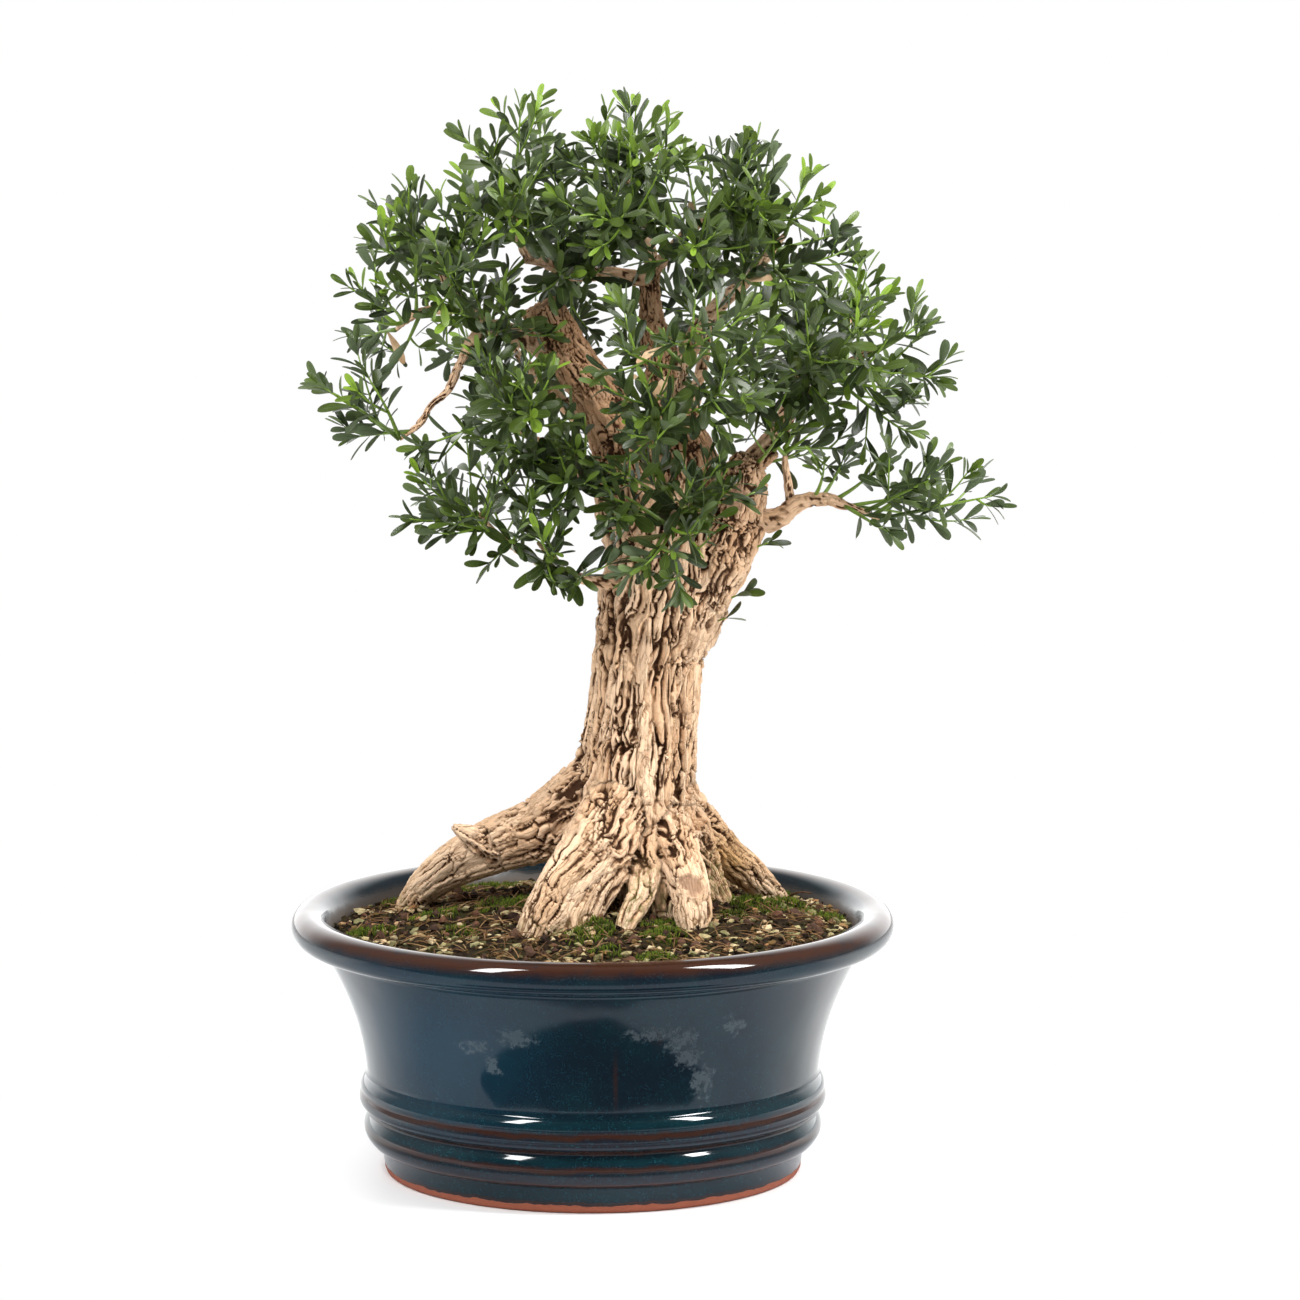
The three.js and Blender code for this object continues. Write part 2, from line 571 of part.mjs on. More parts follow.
const GLAZE = new THREE.MeshStandardMaterial({ color: 0x12303f, roughness: 0.12, metalness: 0 });
const EARTH = new THREE.MeshStandardMaterial({ color: 0x4a3a26, roughness: 0.95, metalness: 0 });
const BARK = new THREE.MeshStandardMaterial({ color: 0xc9ae86, roughness: 0.85, metalness: 0 });
const LEAF_GREEN = new THREE.MeshStandardMaterial({ color: 0x2f5a26, roughness: 0.45, metalness: 0 });
const SCREEN_BLACK = new THREE.MeshStandardMaterial({ color: 0x1c1d1e, roughness: 0.6, metalness: 0 });

const bonsai = new THREE.Group();
const trunk = makeTrunk();
const shoots = plannedShoots(trunk);
bonsai.add(meshOf(makePot(), 'pot', GLAZE));
bonsai.add(meshOf(makeScreen(-1), 'drain_screen_left', SCREEN_BLACK));
bonsai.add(meshOf(makeScreen(1), 'drain_screen_right', SCREEN_BLACK));
bonsai.add(meshOf(makeSoil(), 'soil', EARTH));
bonsai.add(meshOf(trunk, 'trunk', BARK));
for (const [index, shape] of makeShoots(shoots).entries()) {
  bonsai.add(meshOf(shape, `spray_${String(index + 1).padStart(2, '0')}`, LEAF_GREEN));
}

export default bonsai;
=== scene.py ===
"""Looks of a Chinese boxwood bonsai in its glazed round pot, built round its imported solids."""
import itertools
import logging
import math
import random
from collections.abc import Callable, Iterable, Sequence
from dataclasses import dataclass, field
from enum import Enum

import bmesh
import bpy
import numpy as np
from bmesh.types import BMEdge, BMesh, BMFace, BMVert
from bpy.types import ID, Material, Mesh, NodeSocket, NodeTree, Object
from mathutils import Matrix, Vector, noise


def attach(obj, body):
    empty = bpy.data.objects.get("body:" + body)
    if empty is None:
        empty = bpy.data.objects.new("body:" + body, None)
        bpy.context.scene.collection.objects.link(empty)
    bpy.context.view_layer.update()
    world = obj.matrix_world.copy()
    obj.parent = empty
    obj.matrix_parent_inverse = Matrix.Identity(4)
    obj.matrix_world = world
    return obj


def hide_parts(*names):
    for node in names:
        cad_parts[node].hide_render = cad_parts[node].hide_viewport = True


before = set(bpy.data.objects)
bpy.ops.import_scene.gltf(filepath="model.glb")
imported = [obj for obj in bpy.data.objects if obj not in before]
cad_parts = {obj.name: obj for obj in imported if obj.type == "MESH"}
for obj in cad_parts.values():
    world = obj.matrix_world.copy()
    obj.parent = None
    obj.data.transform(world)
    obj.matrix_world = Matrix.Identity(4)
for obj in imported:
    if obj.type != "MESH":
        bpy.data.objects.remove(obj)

log = logging.getLogger("bonsai")

MM = 0.001
PER_METRE = 1000.0
BODY = "root"
RIGHT = Vector((1.0, 0.0, 0.0))
FORWARD = Vector((0.0, 1.0, 0.0))
UP = Vector((0.0, 0.0, 1.0))
STEEP = 0.9
GOLDEN_ANGLE = 137.5
DRAW_START, DRAW_FIRST, DRAW_STEP, DRAW_SPREAD = 4.1, 12.9898, 37.7, 43758.5453
SHADER_SOCKETS = {
    "colour": "Base Color", "roughness": "Roughness", "specular": "Specular IOR Level", "normal": "Normal",
}

Colour = tuple[float, float, float]
Pair = tuple[float, float]
Row = tuple[float, float, float, float]
Rows = tuple[Row, ...]


class Slot(Enum):
    """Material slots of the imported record."""

    GLAZE = "glaze"
    SOIL = "soil"
    BARK = "bark"
    LEAF = "leaf"


class Zone(Enum):
    """Kinds of bark on the tree, each with its own plates."""

    TRUNK = "trunk"
    FOOT = "foot"
    ROOT = "root"
    BURL = "burl"
    LIMB = "limb"
    TWIG = "twig"


def draw(*key: float) -> float:
    """A fixed number from 0 to 1 for each key, the same at each run.

    Args:
        key: Numbers that name what is drawn.

    Returns:
        The number.
    """
    mixed = DRAW_START + sum(value * (place * DRAW_STEP + DRAW_FIRST) for place, value in enumerate(key))
    wave = math.sin(mixed) * DRAW_SPREAD
    return wave - math.floor(wave)


def between(low: float, high: float, *key: float) -> float:
    """A fixed number between two limits for each key."""
    return low + (high - low) * draw(*key)


def smooth_step(value: float | np.ndarray, low: float, high: float) -> float | np.ndarray:
    """Rises smoothly from 0 at low to 1 at high, for one number or many."""
    share = np.clip((value - low) / (high - low), 0.0, 1.0)
    return share * share * (3.0 - 2.0 * share)


def scatter(*key: np.ndarray | float) -> np.ndarray:
    """A fixed number from 0 to 1 for each row of keys, as draw gives for one.

    Args:
        key: Whole numbers that name what is drawn.

    Returns:
        The numbers.
    """
    mixed = DRAW_START
    for place, value in enumerate(key):
        mixed = mixed + value * (place * DRAW_STEP + DRAW_FIRST)
    wave = np.sin(mixed) * DRAW_SPREAD
    return wave - np.floor(wave)


def cloud(places: np.ndarray, size: float, seed: float) -> np.ndarray:
    """Soft noise from -1 to 1 at many places.

    Args:
        places: One row of three for each place.
        size: The size of its blobs.
        seed: Names the noise.

    Returns:
        One number for each place.
    """
    scaled = places / size
    low = np.floor(scaled)
    weight = smooth_step(scaled - low, 0.0, 1.0)
    total = np.zeros(len(places))
    for corner in itertools.product((0, 1), repeat=3):
        share = np.where(np.array(corner) == 1, weight, 1.0 - weight).prod(axis=1)
        total += share * scatter(*(low + np.array(corner)).T, seed)
    return total * 2.0 - 1.0


def square_to(direction: Vector, wanted: Vector) -> Vector:
    """A unit vector square to a unit direction, as near as can be to the wanted side."""
    return (wanted - direction * wanted.dot(direction)).normalized()


def side_of(along: Vector, degrees: float) -> Vector:
    """A unit vector square to a stem, turned round it by an angle from its upper side."""
    side = square_to(along, UP if abs(along.z) < STEEP else RIGHT)
    return Matrix.Rotation(math.radians(degrees), 3, along) @ side


def linked(name: str, data: ID) -> Object:
    """A new object in the scene with its mesh, camera or lamp."""
    made = bpy.data.objects.new(name, data)
    bpy.context.scene.collection.objects.link(made)
    return made


def only(kind: type, items: Iterable[object]) -> list:
    """The items of one kind, out of all that a bmesh operator gives."""
    return [item for item in items if isinstance(item, kind)]


def geometry(bm: BMesh) -> list:
    """All of a bmesh's points, edges and faces."""
    return bm.verts[:] + bm.edges[:] + bm.faces[:]


def place_piece(
    mesh: Mesh, name: str, finishes: Sequence[Material], nodes: Sequence[str] = ()
) -> None:
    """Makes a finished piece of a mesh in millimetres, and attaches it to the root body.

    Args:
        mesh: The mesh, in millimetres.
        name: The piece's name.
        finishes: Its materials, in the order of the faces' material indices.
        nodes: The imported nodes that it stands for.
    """
    mesh.name = name
    mesh.transform(Matrix.Scale(MM, 4))
    mesh.materials.clear()
    for finish in finishes:
        mesh.materials.append(finish)
    piece = linked(name, mesh)
    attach(piece, BODY)
    if nodes:
        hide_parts(*nodes)
    mesh.calc_loop_triangles()
    log.info("%s: %d triangles", name, len(mesh.loop_triangles))


def mesh_of(bm: BMesh, name: str, smooth: bool = True) -> Mesh:
    """Turns a bmesh into a mesh and frees it.

    Args:
        bm: The bmesh.
        name: The mesh's name.
        smooth: Whether its faces are shaded smooth.

    Returns:
        The mesh.
    """
    for face in bm.faces:
        face.smooth = smooth
    mesh = bpy.data.meshes.new(name)
    bm.to_mesh(mesh)
    bm.free()
    return mesh


def applied(mesh: Mesh, name: str, dress: Callable[[Object], None]) -> Mesh:
    """The mesh that a mesh becomes under modifiers.

    Args:
        mesh: The mesh to start from, which is removed.
        name: A name for the result.
        dress: Adds the modifiers to an object of that mesh.

    Returns:
        The new mesh.
    """
    holder = linked(name, mesh)
    dress(holder)
    graph = bpy.context.evaluated_depsgraph_get()
    result = bpy.data.meshes.new_from_object(holder.evaluated_get(graph))
    bpy.data.objects.remove(holder)
    bpy.data.meshes.remove(mesh)
    return result


def shade_smooth(mesh: Mesh) -> None:
    """Shades all the faces of a mesh smooth."""
    mesh.polygons.foreach_set("use_smooth", [True] * len(mesh.polygons))


def add_values(mesh: Mesh, **layers: np.ndarray) -> None:
    """Stores a number, or three, for each point of a mesh, for its material to read.

    Args:
        mesh: The mesh.
        layers: One number or one row of three for each point, under the attribute's name.
    """
    for name, values in layers.items():
        kind, key = ("FLOAT_VECTOR", "vector") if values.ndim == 2 else ("FLOAT", "value")
        attribute = mesh.attributes.new(name, kind, "POINT")
        attribute.data.foreach_set(key, values.astype(np.float32).ravel())


class Graph:
    """A tree of shader nodes, with plain calls that add nodes and join them."""

    def __init__(self, tree: NodeTree) -> None:
        """Starts on a tree."""
        self.tree = tree

    def feed(self, socket: NodeSocket, source: object) -> None:
        """Links a socket to a source, or sets it where the source is a plain value."""
        if isinstance(source, NodeSocket):
            self.tree.links.new(source, socket)
        elif socket.type == "RGBA":
            socket.default_value = (*source, 1.0)
        else:
            socket.default_value = source

    def add(
        self, kind: str, sources: dict[int | str, object], output: int | str = 0, **settings: object
    ) -> NodeSocket:
        """Adds a shader node.

        Args:
            kind: Its type, without the first words that all of them share.
            sources: What its inputs are fed with.
            output: The output that is wanted.
            settings: Its properties.

        Returns:
            The output's socket.
        """
        node = self.tree.nodes.new("ShaderNode" + kind)
        for name, value in settings.items():
            setattr(node, name, value)
        for name, source in sources.items():
            self.feed(node.inputs[name], source)
        return node.outputs[output]

    def attribute(self, name: str, output: str = "Fac") -> NodeSocket:
        """Reads a mesh attribute as a number, or as a vector where that output is named."""
        return self.add("Attribute", {}, output, attribute_name=name)

    def millimetres(self) -> NodeSocket:
        """The place on the object, in millimetres."""
        return self.scaled(self.add("TexCoord", {}, "Object"), (PER_METRE,) * 3)

    def scaled(self, vector: NodeSocket, by: Colour, plus: Colour = (0.0, 0.0, 0.0)) -> NodeSocket:
        """A vector with each of its parts multiplied, then added to."""
        return self.add("VectorMath", {0: vector, 1: by, 2: plus}, operation="MULTIPLY_ADD")

    def length(self, vector: NodeSocket) -> NodeSocket:
        """A vector's length."""
        return self.add("VectorMath", {0: vector}, "Value", operation="LENGTH")

    def parts(self, vector: NodeSocket) -> Sequence[NodeSocket]:
        """The X, Y and Z of a vector."""
        return self.add("SeparateXYZ", {0: vector}).node.outputs

    def math(self, operation: str, first: object, second: object = 0.0) -> NodeSocket:
        """One sum of two values."""
        return self.add("Math", {0: first, 1: second}, operation=operation)

    def times(self, first: object, *others: object) -> NodeSocket:
        """The product of values."""
        for other in others:
            first = self.math("MULTIPLY", first, other)
        return first

    def plus(self, first: object, second: object) -> NodeSocket:
        """The sum of two values."""
        return self.math("ADD", first, second)

    def minus(self, first: object, second: object) -> NodeSocket:
        """The difference of two values."""
        return self.math("SUBTRACT", first, second)

    def rest(self, share: object) -> NodeSocket:
        """What a share leaves of 1."""
        return self.minus(1.0, share)

    def most(self, first: object, second: object) -> NodeSocket:
        """The greater of two values."""
        return self.math("MAXIMUM", first, second)

    def noise(self, place: NodeSocket, scale: object, detail: float = 3.0, rough: float = 0.5) -> NodeSocket:
        """Soft noise of about 0.5, with as many blobs per unit as the scale says."""
        sources = {"Vector": place, "Scale": scale, "Detail": detail, "Roughness": rough}
        return self.add("TexNoise", sources, "Fac")

    def waver(self, place: NodeSocket, scale: float, reach: float) -> NodeSocket:
        """A noise about 0 whose whole span is the reach."""
        return self.times(self.minus(self.noise(place, scale, 4.0), 0.5), reach)

    def step(self, value: object, low: object, high: object) -> NodeSocket:
        """Rises smoothly from 0 at low to 1 at high."""
        sources = {"Value": value, "From Min": low, "From Max": high}
        return self.add("MapRange", sources, "Result", interpolation_type="SMOOTHSTEP")

    def band(self, value: object, middle: float, half: float) -> NodeSocket:
        """Is 1 at the middle and falls smoothly to 0 half a width away."""
        return self.rest(self.step(self.math("ABSOLUTE", self.minus(value, middle)), 0.0, half))

    def mix(self, share: object, first: object, second: object, kind: str = "MIX") -> NodeSocket:
        """Two colours mixed by a share from 0 to 1."""
        return self.add("Mix", {0: share, 6: first, 7: second}, 2, data_type="RGBA", blend_type=kind)

    def over(self, colour: object, top: object, *shares: object) -> NodeSocket:
        """A colour with another laid over it by the product of some shares."""
        return self.mix(self.times(*shares), colour, top)

    def blend(self, share: object, first: object, second: object) -> NodeSocket:
        """Two numbers mixed by a share from 0 to 1."""
        return self.add("Mix", {0: share, 2: first, 3: second}, data_type="FLOAT")

    def ramp(self, value: object, shades: Sequence[Colour]) -> NodeSocket:
        """A colour that runs evenly through shades as a value goes from 0 to 1."""
        made = self.add("ValToRGB", {0: value})
        elements = made.node.color_ramp.elements
        while len(elements) < len(shades):
            elements.new(0.5)
        for index, (element, shade) in enumerate(zip(elements, shades)):
            element.position = index / (len(shades) - 1)
            element.color = (*shade, 1.0)
        return made

    def bump(self, height: object, distance: float) -> NodeSocket:
        """A normal bent by a height from 0 to 1 that stands for a distance in metres."""
        return self.add("Bump", {"Height": height, "Distance": distance})


class Effects:
    """Shader node groups that several materials share, each built once."""

    def __init__(self) -> None:
        """Builds the groups."""
        self.mottle = self._mottle()
        self.speckle = self._speckle()

    @staticmethod
    def _start(name: str, **numbers: float) -> tuple[Graph, Sequence[NodeSocket]]:
        """A new group with a vector and some numbers as inputs, and one output called Mask.

        Args:
            name: The group's name.
            numbers: The default of each number, under its name in small letters.

        Returns:
            The group's graph and the sockets that its inputs arrive at.
        """
        tree = bpy.data.node_groups.new(name, "ShaderNodeTree")
        tree.interface.new_socket("Vector", in_out="INPUT", socket_type="NodeSocketVector")
        for title, default in numbers.items():
            socket = tree.interface.new_socket(
                title.capitalize(), in_out="INPUT", socket_type="NodeSocketFloat"
            )
            socket.default_value = default
        tree.interface.new_socket("Mask", in_out="OUTPUT", socket_type="NodeSocketFloat")
        return Graph(tree), tree.nodes.new("NodeGroupInput").outputs

    @staticmethod
    def _end(graph: Graph, mask: NodeSocket) -> NodeTree:
        """Gives a group its output."""
        graph.feed(graph.tree.nodes.new("NodeGroupOutput").inputs[0], mask)
        return graph.tree

    def _mottle(self) -> NodeTree:
        """Soft irregular patches between two levels of a noise."""
        graph, given = self._start("mottle", scale=1.0, low=0.4, high=0.6)
        blobs = graph.noise(given["Vector"], given["Scale"], 5.0, 0.6)
        return self._end(graph, graph.step(blobs, given["Low"], given["High"]))

    def _speckle(self) -> NodeTree:
        """Small separate specks, one in each cell, whose radius is a share of the cell."""
        graph, given = self._start("speckle", scale=1.0, radius=0.3)
        sources = {"Vector": given["Vector"], "Scale": given["Scale"]}
        away = graph.add("TexVoronoi", sources, "Distance")
        inner = graph.times(given["Radius"], 0.6)
        return self._end(graph, graph.rest(graph.step(away, inner, given["Radius"])))


class Coat(Graph):
    """The graph of one material, round its Principled shader."""

    def __init__(self, name: str, effects: Effects | None = None) -> None:
        """Makes the material."""
        self.effects = effects
        self.material = bpy.data.materials.new(name)
        self.material.use_nodes = True
        super().__init__(self.material.node_tree)

    def mottle(self, place: NodeSocket, scale: float, low: float, high: float) -> NodeSocket:
        """Places the shared patches."""
        sources = {"Vector": place, "Scale": scale, "Low": low, "High": high}
        return self.add("Group", sources, node_tree=self.effects.mottle)

    def speckle(self, place: NodeSocket, scale: float, radius: float) -> NodeSocket:
        """Places the shared specks."""
        sources = {"Vector": place, "Scale": scale, "Radius": radius}
        return self.add("Group", sources, node_tree=self.effects.speckle)

    def finished(self, **sources: object) -> Material:
        """Feeds the shader's own sockets and gives the material."""
        for name, source in sources.items():
            self.feed(self.tree.nodes["Principled BSDF"].inputs[SHADER_SOCKETS[name]], source)
        return self.material


@dataclass(frozen=True)
class GlazeFinish:
    """Dark teal glaze that broke to brown on its edges, over red clay. Sizes are in millimetres."""

    effects: Effects
    navy: Colour = (0.0035, 0.0088, 0.0145)
    teal: Colour = (0.0035, 0.027, 0.033)
    speck: Colour = (0.015, 0.1, 0.13)
    brown: Colour = (0.034, 0.0115, 0.0055)
    # Painted sheen and shade: the dull mauve that the ribs' lower faces show.
    underside_sheen: Colour = (0.02, 0.016, 0.021)
    # Painted reflection: the bluish surroundings mirrored on the left of the wall.
    left_reflection_blue: Colour = (0.004, 0.024, 0.043)
    clay: Colour = (0.42, 0.115, 0.052)
    dark_clay: Colour = (0.2, 0.052, 0.03)
    dust: Colour = (0.12, 0.085, 0.06)
    lime: Colour = (0.13, 0.17, 0.19)
    lime_patches: Rows = (
        (-44, 108, 14, 8), (-68, 101, 11, 6), (-57, 91, 6, 11), (33, 112, 17, 6), (51, 108, 14, 10),
        (57, 95, 10, 9), (65, 79, 9, 14), (84, 113, 9, 8),
    )
    front_run: Pair = (14.5, 82.0)
    clay_height: float = 4.7
    thin_edges: tuple[Pair, ...] = ((18.0, 3.0), (28.5, 3.2), (38.6, 2.6), (49.0, 3.4))
    teal_bands: tuple[Pair, ...] = ((11.0, 7.0), (33.5, 4.5), (56.0, 5.5))
    underside_sheen_bands: tuple[Pair, ...] = ((22.5, 4.5), (43.5, 4.5))
    lip_brown: Pair = (157.0, 7.5)
    under_lip_brown: Pair = (138.5, 2.4)
    lip_radii: Pair = (164.0, 168.0)
    inner_radius: float = 162.0
    inner_bottom: float = 142.0
    soil_stain: float = 151.5

    def material(self) -> Material:
        """Builds the material."""
        graph = Coat("glaze", self.effects)
        place = graph.millimetres()
        x, _, z = graph.parts(place)
        radius = graph.length(graph.scaled(place, (1.0, 1.0, 0.0)))
        height = graph.plus(z, graph.waver(place, 0.06, 5.0))
        colour = graph.over(self.navy, self.teal, graph.mottle(place, 0.03, 0.35, 0.7), 0.35)
        # Teal bands of the glaze, then mauve bands painted on the ribs' lower faces as their sheen and
        # shade.
        for bands, tone, share in (
            (self.teal_bands, self.teal, 0.36), (self.underside_sheen_bands, self.underside_sheen, 0.6)
        ):
            for band in bands:
                colour = graph.over(colour, tone, graph.band(height, *band), share)
        # Painted reflection: the left of the wall is tinted blue for the bluish surroundings that it
        # mirrors.
        left = graph.rest(graph.step(x, -110.0, 10.0))
        colour = graph.over(colour, self.left_reflection_blue, left, graph.band(z, 98.0, 80.0))
        specks = graph.most(graph.speckle(place, 0.85, 0.33), graph.speckle(place, 0.42, 0.2))
        strength = graph.blend(graph.rest(graph.step(z, 52.0, 75.0)), 0.22, 0.5)
        colour = graph.over(colour, self.speck, specks, graph.mottle(place, 0.2, 0.42, 0.62), strength)
        for band in self.thin_edges:
            colour = graph.over(colour, self.brown, graph.band(height, *band), 0.85)
        lip = graph.most(graph.band(height, *self.lip_brown), graph.band(height, *self.under_lip_brown))
        thin = graph.times(graph.step(radius, *self.lip_radii), graph.mottle(place, 0.05, 0.2, 0.46))
        colour = graph.over(colour, self.brown, lip, thin)
        colour, rough = self._runs_and_lime(graph, place, colour)
        inside = graph.rest(graph.step(radius, self.inner_radius, self.inner_radius + 2.0))
        above = graph.step(z, self.inner_bottom - 2.0, self.inner_bottom)
        low = graph.rest(graph.step(height, self.soil_stain - 4.0, self.soil_stain + 4.0))
        dust = graph.times(inside, above, low)
        colour = graph.over(colour, self.dust, dust, 0.7)
        rough = graph.blend(dust, rough, 0.55)
        edge = graph.plus(z, graph.waver(place, 0.09, 4.0))
        bare = graph.rest(graph.step(edge, self.clay_height - 0.3, self.clay_height + 0.3))
        colour = graph.over(colour, self.brown, graph.band(edge, self.clay_height + 1.2, 1.4), 0.8)
        grain = graph.noise(place, 1.4, 4.0)
        ripple = graph.times(graph.noise(place, 0.03, 1.0), 0.3)
        return graph.finished(
            colour=graph.mix(bare, colour, graph.mix(grain, self.clay, self.dark_clay)),
            roughness=graph.blend(bare, rough, 0.8),
            specular=0.5,
            normal=graph.bump(graph.plus(ripple, graph.times(grain, bare, 0.5)), 0.0012),
        )

    def _runs_and_lime(
        self, graph: Coat, place: NodeSocket, colour: NodeSocket
    ) -> tuple[NodeSocket, NodeSocket]:
        """Adds brown runs down the wall and patches of lime scale from watering.

        Args:
            graph: The material's graph.
            place: The place on the pot in millimetres.
            colour: The colour so far.

        Returns:
            The new colour and the roughness.
        """
        x, y, z = graph.parts(place)
        back = graph.step(y, -90.0, -60.0)
        front = graph.rest(back)
        run = graph.mottle(graph.scaled(place, (0.09, 0.09, 0.006)), 1.0, 0.63, 0.74)
        colour = graph.over(colour, self.brown, run, graph.band(z, 100.0, 42.0), 0.4)
        middle, height = self.front_run
        drip = graph.times(graph.band(x, middle, 2.2), graph.band(z, height, 26.0))
        colour = graph.over(colour, self.brown, drip, front, 0.5)
        spots = graph.times(graph.mottle(place, 0.017, 0.56, 0.62), back, graph.band(z, 112.0, 26.0))
        for middle, height, half_width, half_height in self.lime_patches:
            by = (1 / half_width, 0.0, 1 / half_height)
            away = graph.scaled(place, by, (-middle / half_width, 0.0, -height / half_height))
            spot = graph.rest(graph.step(graph.length(away), 0.1, 1.8))
            spots = graph.most(spots, graph.times(spot, front))
        ragged = graph.plus(graph.times(spots, 0.34), graph.noise(place, 0.2, 8.0, 0.7))
        scale = graph.step(ragged, 0.7, 0.84)
        return graph.over(colour, self.lime, scale, 0.2), graph.blend(scale, 0.07, 0.3)


@dataclass(frozen=True)
class BarkFinish:
    """Dry corky bark, pale on its plates and dark in its cracks, where shade is painted in. It reads what
    the wood stores.
    """

    effects: Effects
    cream: Colour = (0.94, 0.675, 0.455)
    tan: Colour = (0.76, 0.5, 0.305)
    grey: Colour = (0.5, 0.4, 0.29)
    shade: Colour = (0.3, 0.155, 0.07)
    # Painted shade in the deepest cracks, over their darker inner bark.
    crack: Colour = (0.06, 0.024, 0.009)
    limb_shade: Colour = (0.56, 0.4, 0.28)
    scar: Colour = (0.24, 0.125, 0.07)
    pale_scar: Colour = (0.36, 0.21, 0.13)
    moss: Colour = (0.13, 0.15, 0.03)
    amber: Colour = (0.62, 0.33, 0.07)

    def material(self) -> Material:
        """Builds the material."""
        graph = Coat("bark", self.effects)
        grain = graph.attribute("grain", "Vector")
        fibre = graph.noise(graph.scaled(grain, (1.0, 1.0, 0.15)), 1.2, 5.0, 0.65)
        crumb = graph.noise(grain, 0.7, 4.0, 0.6)
        plate = graph.mix(graph.step(graph.attribute("tone"), 0.25, 1.0), self.cream, self.tan)
        plate = graph.over(plate, self.tan, graph.step(fibre, 0.45, 0.75), 0.5)
        plate = graph.over(plate, self.grey, graph.mottle(grain, 0.045, 0.52, 0.7), 0.4)
        limb = graph.mix(1.0, plate, self.limb_shade, "MULTIPLY")
        plate = graph.mix(graph.attribute("brown"), plate, limb)
        plate = graph.over(plate, self.cream, graph.speckle(grain, 0.33, 0.3), 0.25)
        plate = graph.over(plate, self.amber, graph.attribute("amber"), 0.6)
        sunk = graph.plus(graph.attribute("crevice"), graph.times(graph.minus(fibre, 0.5), 0.35))
        strand = self._strands(graph, grain)
        # Painted shade: thin cracks and the sunk parts of the relief take the shade colour, and the deepest
        # parts the crack colour.
        plate = graph.over(plate, self.shade, strand, 0.4)
        plate = graph.over(plate, self.shade, graph.step(sunk, 0.27, 0.62), 0.85)
        colour = graph.mix(graph.step(sunk, 0.48, 0.74), plate, self.crack)
        colour = graph.over(colour, self.shade, graph.step(crumb, 0.62, 0.74), 0.3)
        healed = graph.mix(crumb, self.scar, self.pale_scar)
        colour = graph.over(colour, healed, graph.attribute("scar"), 0.8)
        stain = graph.step(graph.noise(grain, 0.3, 4.0), 0.42, 0.64)
        colour = graph.over(colour, self.moss, graph.attribute("moss"), stain, 0.7)
        height = graph.minus(graph.plus(fibre, graph.times(crumb, 0.6)), graph.times(strand, 0.5))
        return graph.finished(
            colour=colour, roughness=0.9, specular=0.25, normal=graph.bump(height, 0.0012)
        )

    @staticmethod
    def _strands(graph: Coat, grain: NodeSocket) -> NodeSocket:
        """Thin cracks along the wood that split its plates into strands.

        Args:
            graph: The material's graph.
            grain: The place across and along the wood.

        Returns:
            Is 1 in a crack and 0 between them.
        """
        sway = graph.noise(graph.scaled(grain, (1.0, 1.0, 0.5)), 0.16, 3.0)
        sources = {0: graph.scaled(grain, (1.0, 1.0, 0.12)), 1: graph.times(sway, 5.0)}
        bent = graph.add("VectorMath", sources, operation="ADD")
        sources = {"Vector": bent, "Scale": 0.42}
        edge = graph.add("TexVoronoi", sources, "Distance", feature="DISTANCE_TO_EDGE")
        return graph.times(graph.rest(graph.step(edge, 0.015, 0.085)), graph.mottle(grain, 0.07, 0.36, 0.56))


@dataclass(frozen=True)
class LeafFinish:
    """Leathery box leaves: dark and glossy above, pale below, lime green while young."""

    effects: Effects
    dark: Colour = (0.018, 0.031, 0.0055)
    middle: Colour = (0.055, 0.086, 0.0105)
    lime: Colour = (0.2, 0.33, 0.022)
    below: Colour = (0.085, 0.12, 0.05)
    rib: Colour = (0.1, 0.16, 0.035)
    dry: Colour = (0.8, 0.6, 0.38)
    dark_dry: Colour = (0.42, 0.22, 0.09)

    def material(self) -> Material:
        """Builds the material. Its UV map runs across the leaf in U and along it in V."""
        graph = Coat("leaf", self.effects)
        across, along, _ = graph.parts(graph.add("UVMap", {}, uv_map="blade"))
        under = graph.step(across, 1.4, 1.6)
        across = graph.minus(across, graph.times(under, 2.0))
        from_rib = graph.math("ABSOLUTE", graph.minus(across, 0.5))
        youth = graph.attribute("youth")
        patch = graph.noise(graph.millimetres(), 0.16)
        above = graph.mix(graph.step(graph.attribute("tint"), 0.15, 1.0), self.dark, self.middle)
        above = graph.over(above, self.middle, graph.step(patch, 0.45, 0.75), 0.35)
        above = graph.mix(youth, above, self.lime)
        narrow = graph.rest(graph.step(from_rib, 0.012, 0.05))
        rib = graph.times(narrow, graph.rest(graph.step(along, 0.7, 1.0)))
        above = graph.over(above, self.rib, rib, 0.55)
        above = graph.over(above, self.rib, graph.step(from_rib, 0.46, 0.5), 0.4)
        colour = graph.mix(under, above, graph.over(self.below, self.lime, youth, 0.7))
        dry = graph.step(graph.attribute("dry"), 0.4, 0.6)
        slant = graph.plus(graph.times(along, 9.0), graph.times(from_rib, -7.0))
        veins = graph.math("ABSOLUTE", graph.math("SINE", graph.times(slant, math.pi)))
        return graph.finished(
            colour=graph.mix(dry, colour, graph.mix(patch, self.dry, self.dark_dry)),
            roughness=graph.blend(graph.most(under, dry), graph.blend(patch, 0.3, 0.42), 0.62),
            specular=0.5,
            normal=graph.bump(graph.minus(graph.times(veins, 0.25), rib), 0.00016),
        )


